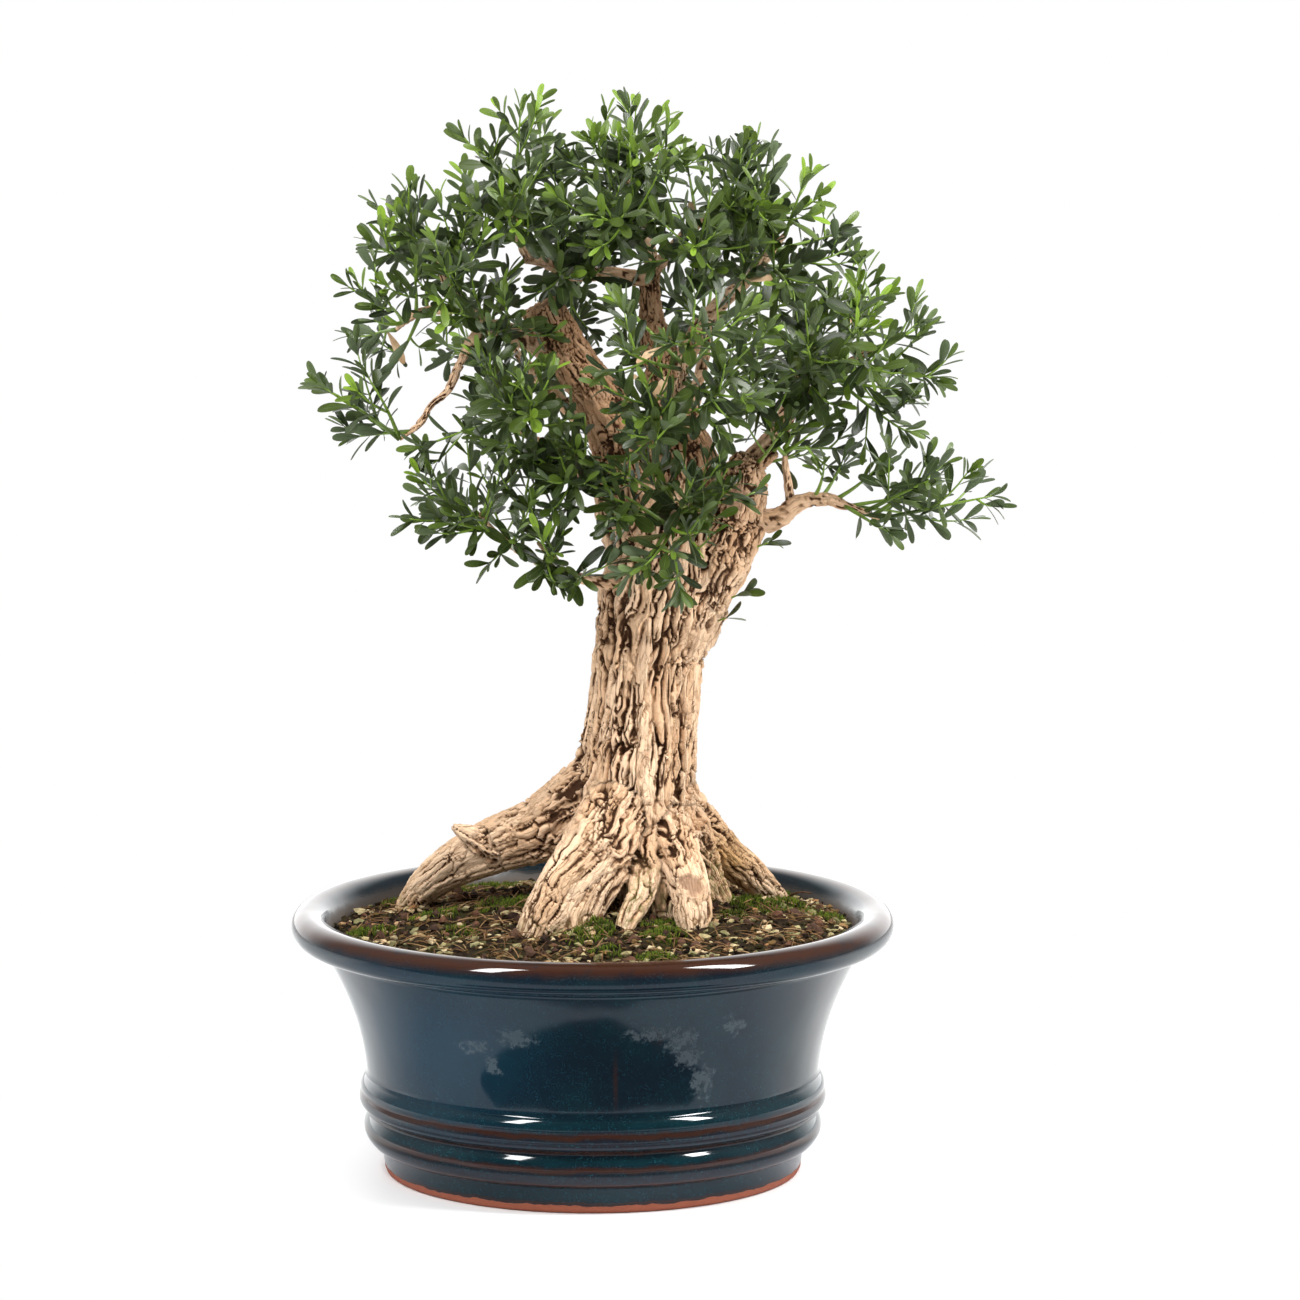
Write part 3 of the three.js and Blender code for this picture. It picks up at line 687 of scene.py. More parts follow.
@dataclass(frozen=True)
class StemFinish:
    """Stems of the leafy shoots: grey-tan wood at the base and green at the tip."""

    effects: Effects
    wood: Colour = (0.4, 0.275, 0.15)
    dark_wood: Colour = (0.2, 0.12, 0.06)
    green: Colour = (0.22, 0.33, 0.06)
    dry_green: Colour = (0.26, 0.33, 0.06)

    def material(self) -> Material:
        """Builds the material."""
        graph = Coat("stem", self.effects)
        youth = graph.attribute("youth")
        place = graph.millimetres()
        patch = graph.mottle(place, 0.35, 0.4, 0.65)
        wood = graph.mix(patch, self.wood, self.dark_wood)
        green = graph.mix(patch, self.green, self.dry_green)
        return graph.finished(
            colour=graph.mix(youth, wood, green), roughness=graph.blend(youth, 0.85, 0.5),
            normal=graph.bump(graph.noise(place, 1.2), 0.0003),
        )


@dataclass(frozen=True)
class EarthFinish:
    """Grit, crumbs and humus of one colour, each piece a shade of its own."""

    effects: Effects
    name: str
    shades: tuple[Colour, ...]
    stain: Colour
    stain_share: float = 0.5

    def material(self) -> Material:
        """Builds the material."""
        graph = Coat(self.name, self.effects)
        place = graph.millimetres()
        colour = graph.ramp(graph.attribute("tint"), self.shades)
        colour = graph.over(colour, self.stain, graph.mottle(place, 0.11, 0.44, 0.62), self.stain_share)
        colour = graph.over(colour, self.shades[0], graph.speckle(place, 0.8, 0.3), 0.4)
        return graph.finished(
            colour=colour, roughness=0.95, specular=0.2,
            normal=graph.bump(graph.noise(place, 0.9, 5.0, 0.7), 0.0009),
        )


@dataclass(frozen=True)
class ScreenFinish:
    """Matt black plastic with a fine moulded grain."""

    effects: Effects
    black: Colour = (0.012, 0.012, 0.013)
    dirt: Colour = (0.06, 0.045, 0.03)

    def material(self) -> Material:
        """Builds the material."""
        graph = Coat("screen_plastic", self.effects)
        place = graph.millimetres()
        dirt = graph.mottle(place, 0.12, 0.45, 0.7)
        return graph.finished(
            colour=graph.mix(dirt, self.black, self.dirt), roughness=graph.blend(dirt, 0.45, 0.8),
            normal=graph.bump(graph.noise(place, 2.5, 2.0), 0.0002),
        )


@dataclass(frozen=True)
class Station:
    """One place on the middle line of a wood, with the directions round it."""

    centre: Vector
    along: Vector
    side: Vector
    across: Vector
    radius: float
    run: float
    share: float


class Line:
    """A smooth line with a thickness, that a tube can follow."""

    def point(self, share: float) -> Vector:
        """The point at a share from 0 to 1."""
        raise NotImplementedError

    def along(self, share: float) -> Vector:
        """The unit direction at a share."""
        raise NotImplementedError

    def thickness(self, share: float) -> float:
        """The radius at a share."""
        raise NotImplementedError

    def stations(self, count: int) -> list[Station]:
        """Even places along the line, whose side turns as little as can be.

        Args:
            count: How many stretches there are between the places.

        Returns:
            The places, from the start to the end.
        """
        found: list[Station] = []
        side = RIGHT if abs(self.along(0.0).x) < STEEP else FORWARD
        run = 0.0
        for step in range(count + 1):
            share = step / count
            centre, along = self.point(share), self.along(share)
            side = square_to(along, side)
            if found:
                run += (centre - found[-1].centre).length
            radius = self.thickness(share)
            found.append(Station(centre, along, side, side.cross(along), radius, run, share))
        return found


class MiddleLine(Line):
    """A smooth line through rows of [x, y, z, radius]."""

    def __init__(self, rows: Rows) -> None:
        """Keeps the rows' points and radii."""
        self.points = [Vector(row[:3]) for row in rows]
        self.radii = [row[3] for row in rows]

    def _place(self, share: float) -> tuple[int, float]:
        """The row before a share of the line, and how far on it is to the next."""
        last = len(self.points) - 1
        place = min(max(share, 0.0), 1.0) * last
        row = min(int(place), last - 1)
        return row, place - row

    def point(self, share: float) -> Vector:
        """The point at a share from 0 to 1 of the rows."""
        row, weight = self._place(share)
        start, end = self.points[row], self.points[row + 1]
        before = self.points[row - 1] if row > 0 else start * 2 - end
        after = self.points[row + 2] if row + 2 < len(self.points) else end * 2 - start
        leave, arrive = (end - before) * 0.5, (after - start) * 0.5
        square, cube = weight**2, weight**3
        return (
            start * (2 * cube - 3 * square + 1)
            + end * (3 * square - 2 * cube)
            + leave * (cube - 2 * square + weight)
            + arrive * (cube - square)
        )

    def along(self, share: float, spare: float = 0.004) -> Vector:
        """The unit direction at a share, from the points a little before and after it."""
        return (self.point(share + spare) - self.point(share - spare)).normalized()

    def thickness(self, share: float) -> float:
        """The wood's radius at a share from 0 to 1 of the rows."""
        row, weight = self._place(share)
        return self.radii[row] + (self.radii[row + 1] - self.radii[row]) * weight

    def length(self) -> float:
        """The line's length, near enough for spacing things along it."""
        points = [self.point(step / 40) for step in range(41)]
        return sum((end - start).length for start, end in zip(points, points[1:]))


def connected(start: BMVert) -> list[BMVert]:
    """Every vertex of the closed body that a vertex belongs to.

    Args:
        start: One of its vertices.

    Returns:
        All of its vertices.
    """
    found = [start]
    seen = {start}
    for vert in found:
        for edge in vert.link_edges:
            other = edge.other_vert(vert)
            if other not in seen:
                seen.add(other)
                found.append(other)
    return found


def add_tube(
    bm: BMesh, stations: Sequence[Station], sides: int, reach: Callable[[Station, float], float]
) -> list[BMVert]:
    """Adds a closed round body along stations: a cylinder whose rows are moved onto them.

    Args:
        bm: The bmesh to add to.
        stations: The places that its rows take.
        sides: The number of faces round it.
        reach: The distance from the middle line at a station and an angle.

    Returns:
        The new vertices.
    """
    rows = len(stations) - 1
    made = bmesh.ops.create_cone(
        bm, cap_ends=True, cap_tris=False, segments=sides, radius1=1.0, radius2=1.0, depth=1.0
    )
    edges = {edge for vert in made["verts"] for edge in vert.link_edges}
    long_edges = [edge for edge in edges if abs(edge.verts[0].co.z - edge.verts[1].co.z) > 0.5]
    cut = bmesh.ops.subdivide_edges(bm, edges=long_edges, cuts=rows - 1)
    verts = connected(only(BMVert, cut["geom_inner"])[0])
    for vert in verts:
        station = stations[round((vert.co.z + 0.5) * rows)]
        angle = math.atan2(vert.co.x, vert.co.y)
        distance = reach(station, angle)
        side = station.side * (distance * math.sin(angle))
        vert.co = station.centre + side + station.across * (distance * math.cos(angle))
    return verts


def plain_tube(bm: BMesh, line: Line, rows: int, sides: int) -> list[BMVert]:
    """Adds a round tube along a line.

    Args:
        bm: The bmesh to add to.
        line: The line.
        rows: The number of stretches along it.
        sides: The number of faces round it.

    Returns:
        The new vertices.
    """
    return add_tube(bm, line.stations(rows), sides, lambda station, angle: station.radius)


@dataclass(frozen=True)
class Cells:
    """Uneven cells on a sheet that is rolled round a wood: what each point finds."""

    gap: np.ndarray
    tone: np.ndarray
    aside: np.ndarray

    @classmethod
    def find(cls, turn: np.ndarray, run: np.ndarray, around: int, squash: float, seed: float) -> "Cells":
        """Finds the cell of each point.

        Args:
            turn: Each point's place round the wood, in cells.
            run: Its place along the wood, in cells.
            around: How many cells go round the wood.
            squash: A cell's width as a share of its length.
            seed: Names the pattern.

        Returns:
            How far each point is from its cell's edge, in widths of a cell, its cell's own number, and its
            place across the cell.
        """
        column, row = np.floor(turn), np.floor(run)
        first, second = np.full((2, len(turn)), 9.0)
        first_way, second_way = np.zeros((2, 2, len(turn)))
        tone = np.zeros(len(turn))
        for right, up in itertools.product((-1, 0, 1), repeat=2):
            wrapped = np.mod(column + right, around)
            across = column + right + scatter(wrapped, row + up, seed) - turn
            along = row + up + scatter(wrapped, row + up, seed + 7.0) - run
            way = np.stack([across, along])
            away = np.hypot(across, along)
            nearer = away < first
            next_nearer = ~nearer & (away < second)
            second_way = np.where(nearer, first_way, np.where(next_nearer, way, second_way))
            second = np.where(nearer, first, np.minimum(second, away))
            tone = np.where(nearer, scatter(wrapped, row + up, seed + 13.0), tone)
            first_way = np.where(nearer, way, first_way)
            first = np.where(nearer, away, first)
        between_cells = second_way - first_way
        slope = np.hypot(between_cells[0], between_cells[1] * squash)
        return cls((second**2 - first**2) / 2 / np.maximum(slope, 0.05), tone, -first_way[0])


@dataclass(frozen=True)
class Plates:
    """How the bark of one kind breaks into plates. Sizes are in millimetres."""

    width: float
    length: float
    depth: float
    crack: float
    warp: float
    seams: float
    brown: float

    def relief(
        self, turn: np.ndarray, grains: np.ndarray, girth: float, places: np.ndarray, seed: float
    ) -> np.ndarray:
        """The bark's relief and shade at many places on one wood.

        Args:
            turn: Their place round the wood, from 0 to 1.
            grains: Their place across the wood, to its right and to its front, and along it.
            girth: The wood's mean radius.
            places: The places themselves.
            seed: Names the wood.

        Returns:
            For each, its height against the mean, how deep in a crack it is, its plate's tone and its brown.
        """
        around = max(5, round(math.tau * girth / self.width))
        run = grains[:, 2]
        right = cloud(places, self.width * 2.2, seed) + 0.4 * cloud(places, self.width * 0.8, seed + 1)
        right = self.warp * right
        up = self.warp * cloud(places, self.width * 2.2, seed + 2)
        squash = self.width / self.length
        plate = Cells.find(turn * around + right, run / self.length + up, around, squash, seed)
        strand_run = run / self.length * 1.3 + up
        strand = Cells.find((turn * around + right) * 2, strand_run, around * 2, squash * 0.65, seed + 40)
        top = smooth_step(plate.gap, 0.0, self.crack)
        slow = cloud(places * np.array([1.0, 1.0, 0.45]), self.width * 1.5, seed + 20)
        deep = 0.55 + 0.45 * smooth_step(slow, -0.35, 0.35)
        split = self.seams * smooth_step(cloud(places, self.width * 1.6, seed + 70), -0.55, 0.05)
        split = split * (1.0 - smooth_step(strand.gap, 0.0, 0.42))
        height = (top - 1.0) * deep + 0.3 * (plate.tone - 0.5) + 0.32 * plate.aside - 0.42 * split
        rough = 0.32 * cloud(places, 2.6, seed + 30) * min(1.0, self.depth)
        crevice = np.maximum((1.0 - top) * deep, split * 0.85)
        brown = np.full(len(turn), self.brown)
        return np.stack([height * self.depth + rough, crevice, plate.tone, brown], axis=1)


BARK = {
    Zone.TRUNK: Plates(width=6.6, length=44.0, depth=4.4, crack=0.32, warp=0.5, seams=1.0, brown=0.0),
    Zone.FOOT: Plates(width=5.4, length=26.0, depth=3.4, crack=0.34, warp=0.8, seams=1.0, brown=0.18),
    Zone.ROOT: Plates(width=7.6, length=32.0, depth=2.0, crack=0.2, warp=0.5, seams=0.8, brown=0.0),
    Zone.BURL: Plates(width=5.2, length=14.0, depth=3.2, crack=0.34, warp=0.9, seams=1.0, brown=0.42),
    Zone.LIMB: Plates(width=5.4, length=22.0, depth=2.4, crack=0.32, warp=0.6, seams=0.9, brown=0.65),
    Zone.TWIG: Plates(width=3.4, length=12.0, depth=1.0, crack=0.3, warp=0.6, seams=0.3, brown=0.28),
}


@dataclass
class Wood:
    """Trunk, surface roots, burl and limbs, in millimetres.

    Each middle line has its flutes, their depth and rows of [x, y, z, radius]. Scars are rows of [x, y, z,
    radius] too.
    """

    effects: Effects
    voxel: float = 1.22
    buried: float = 140.0
    most_triangles: int = 196000
    # Roots whose moss stain also paints the shade of the hollow between them.
    mossy: tuple[str, ...] = ("root_hollow", "root_back_web", "root_front_small")
    thick: tuple[str, ...] = ("trunk", "left_limb", "right_leader", "burl", "burl_stub")
    scars: Rows = ((88, -19, 412, 6.5), (58, -47, 182, 7.5), (32, -2, 508, 7))
    amber: Row = (80, 26, 184, 24)
    lines: dict[str, tuple[int, float, Rows]] = field(default_factory=lambda: {
        "trunk": (24, 0.13, ((30, 14, 112, 38), (29, 14, 158, 40), (24, 13, 205, 38), (26, 12, 245, 35),
            (30, 11, 285, 33), (33, 10, 316, 33), (40, 8, 345, 38), (47, 7, 374, 36), (52, 7, 398, 26),
            (55, 8, 414, 12))),
        "left_limb": (12, 0.1, ((38, 6, 350, 20), (28, 4, 401, 27), (19, 2, 436, 20), (6, 0, 465, 15),
            (-12, -3, 492, 13.5), (-25, -5, 515, 13.5), (-30, -6, 526, 13))),
        "right_leader": (12, 0.1, ((52, 8, 355, 20), (57, 14, 418, 22), (51, 16, 450, 15),
            (44, 18, 478, 12), (38, 20, 500, 10.5), (35, 22, 518, 7.5), (34, 23, 537, 6.5),
            (38, 24, 548, 6))),
        "burl": (12, 0.12, ((58, 4, 338, 18), (72, 2, 370, 24), (83, 0, 398, 22), (90, 0, 420, 15),
            (92, 2, 436, 8))),
        "burl_stub": (6, 0.08, ((90, 2, 420, 8), (99, 4, 430, 6.5), (110, 6, 437, 5))),
        "side_limb": (7, 0.08, ((-26, -4, 497, 7), (-43, -8, 506, 6.3), (-59, -12, 512, 5),
            (-71, -16, 504, 4.2), (-79, -20, 490, 4))),
        "left_arm": (5, 0.0, ((-78, -19, 491, 3), (-86, -22, 475, 2.4), (-95, -24, 467, 2.2),
            (-103, -25, 455, 2.1), (-114, -26, 447, 2))),
        "cross_limb": (6, 0.06, ((35, 22, 537, 5), (11, 18, 541, 4.6), (-12, 12, 542, 4.6),
            (-26, 8, 549, 4.8), (-40, 6, 551, 4.2))),
        "crown_left": (5, 0.0, ((-37, 6, 551, 3.8), (-46, 5, 572, 3.2), (-45, 3, 596, 2.6))),
        "crown_middle": (5, 0.0, ((37, 24, 543, 5), (30, 20, 570, 3.8), (21, 12, 598, 2.8))),
        "crown_right": (5, 0.0, ((37, 24, 543, 4.5), (57, 30, 565, 3.6), (78, 30, 580, 2.7))),
        "shoulder": (7, 0.06, ((45, 18, 472, 8), (68, 20, 513, 5.4), (96, 18, 542, 4),
            (115, 12, 565, 2.8))),
        "right_rise": (7, 0.06, ((90, 2, 424, 8), (111, 14, 447, 6.2), (126, 24, 477, 5),
            (134, 26, 510, 3.2))),
        "right_reach": (5, 0.0, ((118, 18, 458, 4.8), (147, 12, 483, 3.6), (169, 6, 498, 2.6))),
        "right_arm": (7, 0.08, ((94, 0, 394, 8), (111, -2, 397, 6.8), (124, -5, 407, 5.2),
            (140, -9, 409, 4.2), (153, -12, 405, 3), (172, -16, 398, 2.5))),
        "right_spur": (5, 0.0, ((119, -4, 404, 3.4), (116, 0, 425, 2.2), (115, 4, 438, 1.7))),
        "left_rise": (5, 0.0, ((-58, -12, 511, 4.2), (-79, -12, 529, 3.5), (-92, -10, 551, 2.7))),
        "left_reach": (5, 0.0, ((-74, -12, 524, 3.4), (-102, -20, 522, 2.8), (-116, -24, 512, 2.3))),
        "middle_left": (6, 0.05, ((16, 0, 425, 7), (-7, -14, 424, 4.4), (-31, -24, 444, 3.4),
            (-48, -30, 459, 2.6))),
        "low_left": (5, 0.0, ((20, -12, 358, 5), (-14, -30, 366, 3), (-37, -36, 378, 2.6),
            (-54, -38, 390, 2.3), (-67, -40, 405, 2))),
        "low_front": (5, 0.0, ((48, -8, 396, 5), (50, -40, 404, 3.6), (46, -66, 400, 2.6))),
        "front": (6, 0.05, ((42, 4, 446, 7), (46, -34, 462, 4.8), (52, -66, 482, 3.4),
            (54, -86, 500, 2.7))),
        "back_right": (6, 0.05, ((52, 22, 430, 7), (60, 56, 456, 4.8), (68, 84, 488, 3.4),
            (70, 100, 512, 2.7))),
        "back_left": (6, 0.05, ((20, 12, 440, 7), (-8, 44, 452, 4.8), (-32, 68, 472, 3.4),
            (-48, 82, 490, 2.7))),
        "root_left": (10, 0.08, ((8, 15, 232, 24), (-29, 20, 205, 20), (-62, 28, 192, 17),
            (-94, 42, 172, 12.5), (-114, 53, 148, 8), (-120, 56, 128, 5))),
        "root_left_stub": (6, 0.0, ((-60, 20, 193, 12), (-76, 16, 202, 6.2), (-85, 14, 207, 2.2))),
        "root_front": (12, 0.08, ((20, -4, 228, 22), (4, -22, 199, 23), (-17, -38, 176, 18),
            (-32, -50, 156, 13.5), (-42, -58, 132, 8))),
        "root_front_web": (8, 0.1, ((16, -12, 210, 18), (4, -32, 184, 15), (-8, -44, 164, 13),
            (-14, -52, 138, 10))),
        "root_hollow": (8, 0.1, ((40, -2, 206, 18), (41, -20, 178, 13), (42, -28, 158, 10),
            (42, -32, 136, 9))),
        "root_back_web": (8, 0.1, ((54, 6, 206, 18), (66, 10, 178, 13), (76, 14, 156, 9),
            (80, 16, 134, 7))),
        "root_front_small": (7, 0.06, ((34, -12, 208, 13), (31, -34, 180, 9), (20, -52, 158, 6.5),
            (12, -60, 136, 4))),
        "root_front_right": (8, 0.09, ((44, -6, 212, 16), (56, -32, 184, 12.5), (60, -48, 162, 11),
            (61, -54, 136, 7))),
        "root_right": (8, 0.08, ((46, 16, 222, 20), (74, 34, 192, 14), (98, 50, 169, 10),
            (116, 62, 147, 6.5), (121, 64, 130, 4.5))),
        "root_back": (8, 0.07, ((26, 28, 222, 20), (16, 56, 190, 16), (4, 84, 166, 11), (-6, 104, 146, 7),
            (-10, 114, 128, 5))),
        "root_back_right": (7, 0.07, ((42, 30, 214, 18), (62, 62, 182, 12), (76, 86, 156, 8),
            (84, 98, 132, 5))),
    })

    def is_thick(self, name: str) -> bool:
        """Whether a line belongs to the trunk's own body and not to the branches."""
        return name in self.thick or name.startswith("root")

    def middle(self, name: str) -> MiddleLine:
        """The middle line of one wood."""
        return MiddleLine(self.lines[name][2])

    def reach(self, name: str, kept: float) -> Callable[[Station, float], float]:
        """The distance from the middle line to the bark, with its broad flutes.

        Args:
            name: The line's name.
            kept: How much of the flutes' depth is kept.

        Returns:
            A function of a station and an angle.
        """
        sides, ridge, _ = self.lines[name]

        def distance(station: Station, angle: float) -> float:
            """The distance at one station and angle."""
            plate = math.cos(angle * sides / 2) * (0.7 + 0.5 * math.sin(station.share * 17 + angle * 2))
            lobes = 0.45 * math.sin(angle * 3 + station.share * 5)
            taper = 0.0 if self.is_thick(name) else 0.4 * smooth_step(station.share, 0.7, 1.0)
            return station.radius * (1 - taper) * (1 + ridge * kept * plate + ridge * lobes)

        return distance

    def zones(self, name: str, share: np.ndarray, height: np.ndarray) -> list[tuple[Plates, np.ndarray]]:
        """The kinds of bark at places on one wood, each with its weight.

        Args:
            name: The line's name.
            share: How far along the line each place is.
            height: Each place's height in millimetres.

        Returns:
            The kinds and their weights at each place.
        """
        if name == "trunk":
            upper, lower, weight = Zone.TRUNK, Zone.FOOT, smooth_step(height, 205.0, 240.0)
        elif name.startswith("root"):
            upper, lower, weight = Zone.ROOT, Zone.FOOT, smooth_step(share, 0.15, 0.42)
        elif name.startswith("burl"):
            upper, lower, weight = Zone.BURL, Zone.TRUNK, smooth_step(height, 352.0, 385.0)
        elif name in self.thick:
            upper, lower, weight = Zone.LIMB, Zone.TRUNK, smooth_step(height, 390.0, 435.0)
        else:
            return [(BARK[Zone.TWIG], np.ones(len(share)))]
        return [(BARK[upper], weight), (BARK[lower], 1.0 - weight)]

    def build(self) -> None:
        """Makes the trunk's body and its branches."""
        bark = BarkFinish(self.effects).material()
        self._build_trunk(bark)
        self._build_branches(bark)

    def _tubes(
        self, names: Iterable[str], spacing: float, sides: int, flutes: float
    ) -> tuple[Mesh, list[str], list[Station]]:
        """A mesh of plain tubes, one for each line.

        Args:
            names: The lines' names.
            spacing: The length between the rows of a tube.
            sides: The number of faces round a tube.
            flutes: How much of the flutes' depth is kept.

        Returns:
            The mesh, and every station with the name of its line.
        """
        bm = bmesh.new()
        owners: list[str] = []
        stations: list[Station] = []
        for name in names:
            middle = self.middle(name)
            rows = middle.stations(max(8, round(middle.length() / spacing)))
            add_tube(bm, rows, sides, self.reach(name, flutes))
            stations += rows
            owners += [name] * len(rows)
        bmesh.ops.recalc_face_normals(bm, faces=bm.faces[:])
        return mesh_of(bm, "tubes"), owners, stations

    def _build_trunk(self, bark: Material) -> None:
        """Trunk, roots and thick limbs grown into one skin, with plates of bark raised on it."""
        tubes, owners, stations = self._tubes(filter(self.is_thick, self.lines), 3.0, 36, 0.55)

        def grow(holder: Object) -> None:
            """Grows the tubes into one even skin and softens where they meet."""
            remesh = holder.modifiers.new("skin", "REMESH")
            remesh.mode = "VOXEL"
            remesh.voxel_size = self.voxel
            soft = holder.modifiers.new("soft", "SMOOTH")
            soft.factor = 0.6
            soft.iterations = 4

        mesh = self._cut_below_soil(applied(tubes, "trunk_skin", grow))
        self._raise_bark(mesh, owners, stations)
        mesh.calc_loop_triangles()
        kept = min(1.0, self.most_triangles / len(mesh.loop_triangles))

        def thin(holder: Object) -> None:
            """Joins small faces where the bark is plain."""
            holder.modifiers.new("thin", "DECIMATE").ratio = kept

        mesh = applied(mesh, "trunk_thinned", thin)
        shade_smooth(mesh)
        place_piece(mesh, "trunk_bark", [bark], ["trunk"])

    def _cut_below_soil(self, mesh: Mesh) -> Mesh:
        """Cuts the skin off flat where the soil hides it, and closes the cut."""
        bm = bmesh.new()
        bm.from_mesh(mesh)
        cut = bmesh.ops.bisect_plane(
            bm, geom=geometry(bm), plane_co=UP * self.buried, plane_no=UP, clear_inner=True
        )
        bmesh.ops.holes_fill(bm, edges=only(BMEdge, cut["geom_cut"]))
        bpy.data.meshes.remove(mesh)
        return mesh_of(bm, "trunk_above_soil")

    def _build_branches(self, bark: Material) -> None:
        """The thinner limbs, each a tube with its own fine bark, sunk into what bears it."""
        thin = [name for name in self.lines if not self.is_thick(name)]
        mesh, owners, stations = self._tubes(thin, 1.7, 14, 0.5)
        self._raise_bark(mesh, owners, stations)
        place_piece(mesh, "branch_bark", [bark], ["trunk"])

    def _raise_bark(self, mesh: Mesh, names: Sequence[str], stations: Sequence[Station]) -> None:
        """Moves a skin's points by the relief of the bark and stores their shade.

        Args:
            mesh: The skin, in millimetres.
            names: The line that each station belongs to.
            stations: Every station of the lines in the skin.
        """
        places = np.array([vertex.co[:] for vertex in mesh.vertices])
        normals = np.array([vertex.normal[:] for vertex in mesh.vertices])
        nearest = nearest_station(places, stations)

        def of_nearest(name: str) -> np.ndarray:
            """One field of the station nearest to each point."""
            values = [getattr(station, name) for station in stations]
            return np.array([value[:] if isinstance(value, Vector) else value for value in values])[nearest]

        away = places - of_nearest("centre")
        right = (away * of_nearest("side")).sum(axis=1)
        front = (away * of_nearest("across")).sum(axis=1)
        run = of_nearest("run") + (away * of_nearest("along")).sum(axis=1)
        turn = np.mod(np.arctan2(right, front) / math.tau, 1.0)
        share, radius, owner = of_nearest("share"), of_nearest("radius"), np.array(names)[nearest]
        grains = np.stack([right, front, run], axis=1)
        values = np.zeros((len(places), 4))
        for seed, name in enumerate(self.lines):
            mine = owner == name
            if not mine.any():
                continue
            girth = float(radius[mine].mean())
            for plates, weight in self.zones(name, share[mine], places[mine, 2]):
                relief = plates.relief(turn[mine], grains[mine], girth, places[mine], seed * 11.0)
                values[mine] += relief * weight[:, None]
        scar = self._cut_scars(places, values)
        mesh.vertices.foreach_set("co", (places + normals * values[:, :1]).ravel())
        mesh.update()
        # Moss stain low on the wood. It is stronger on the hollow roots, where it also paints the hollow's
        # shade.
        mossy = np.isin(owner, self.mossy) * np.clip((200.0 - places[:, 2]) / 24.0, 0.0, 0.75)
        mossy = np.maximum(mossy, np.clip((170.0 - places[:, 2]) / 24.0, 0.0, 1.0))
        *middle, reach = self.amber
        amber = np.linalg.norm(places - np.array(middle), axis=1) / reach
        add_values(
            mesh, moss=mossy, grain=grains, crevice=values[:, 1], tone=values[:, 2], brown=values[:, 3],
            scar=scar, amber=np.exp(-(amber**2)),
        )
        shade_smooth(mesh)

    def _cut_scars(self, places: np.ndarray, values: np.ndarray) -> np.ndarray:
        """Flattens the relief to a round scar with a raised rim at each healed cut.

        Args:
            places: The skin's points.
            values: Their relief and shade, which are changed.

        Returns:
            How far each point belongs to a scar.
        """
        mask = np.zeros(len(places))
        for *middle, radius in self.scars:
            ragged = 1.0 + 0.5 * cloud(places, 4.0, 3.0)
            away = np.linalg.norm(places - np.array(middle), axis=1) / (radius * ragged)
            inner = smooth_step(1.25 - away, 0.0, 0.45)
            rim = np.exp(-(((away - 1.1) / 0.2) ** 2))
            rings = 0.2 * np.cos(away * 11.0)
            values[:, 0] = values[:, 0] * (1 - inner) * (1 - 0.5 * rim) + inner * (rings - 0.9) + rim * 1.3
            values[:, 1] = values[:, 1] * (1 - 0.7 * inner)
            mask = np.maximum(mask, inner)
        return mask


def nearest_station(places: np.ndarray, stations: Sequence[Station], block: int = 4000) -> np.ndarray:
    """The station nearest to each place, as a share of the wood's radius there.

    Args:
        places: The places.
        stations: The stations.
        block: How many places are compared at a time.

    Returns:
        The index of a station for each place.
    """
    centres = np.array([station.centre[:] for station in stations])
    radii = np.array([station.radius for station in stations])
    nearest = np.zeros(len(places), int)
    for start in range(0, len(places), block):
        away = np.linalg.norm(places[start : start + block, None, :] - centres[None], axis=2) / radii
        nearest[start : start + block] = away.argmin(axis=1)
    return nearest


class Stamp:
    """A small mesh that is copied many times into a bmesh, each copy with its own values."""

    def __init__(self, mesh: Mesh, values: Sequence[str]) -> None:
        """Keeps the mesh's points and adds its values.

        Args:
            mesh: The small mesh.
            values: Names of the numbers that each copy carries.
        """
        self.mesh = mesh
        self.rest = np.array([vertex.co[:] for vertex in mesh.vertices])
        for name in values:
            mesh.attributes.new(name, "FLOAT", "POINT")

    def press(self, bm: BMesh, matrix: Matrix, **values: float) -> None:
        """Adds one copy.

        Args:
            bm: The bmesh to add to.
            matrix: Where the copy goes.
            values: The copy's numbers.
        """
        turned = self.rest @ np.array(matrix.to_3x3()).T + np.array(matrix.translation)
        self.mesh.vertices.foreach_set("co", turned.ravel())
        for name, value in values.items():
            filled = np.full(len(self.rest), value, np.float32)
            self.mesh.attributes[name].data.foreach_set("value", filled)
        bm.from_mesh(self.mesh)


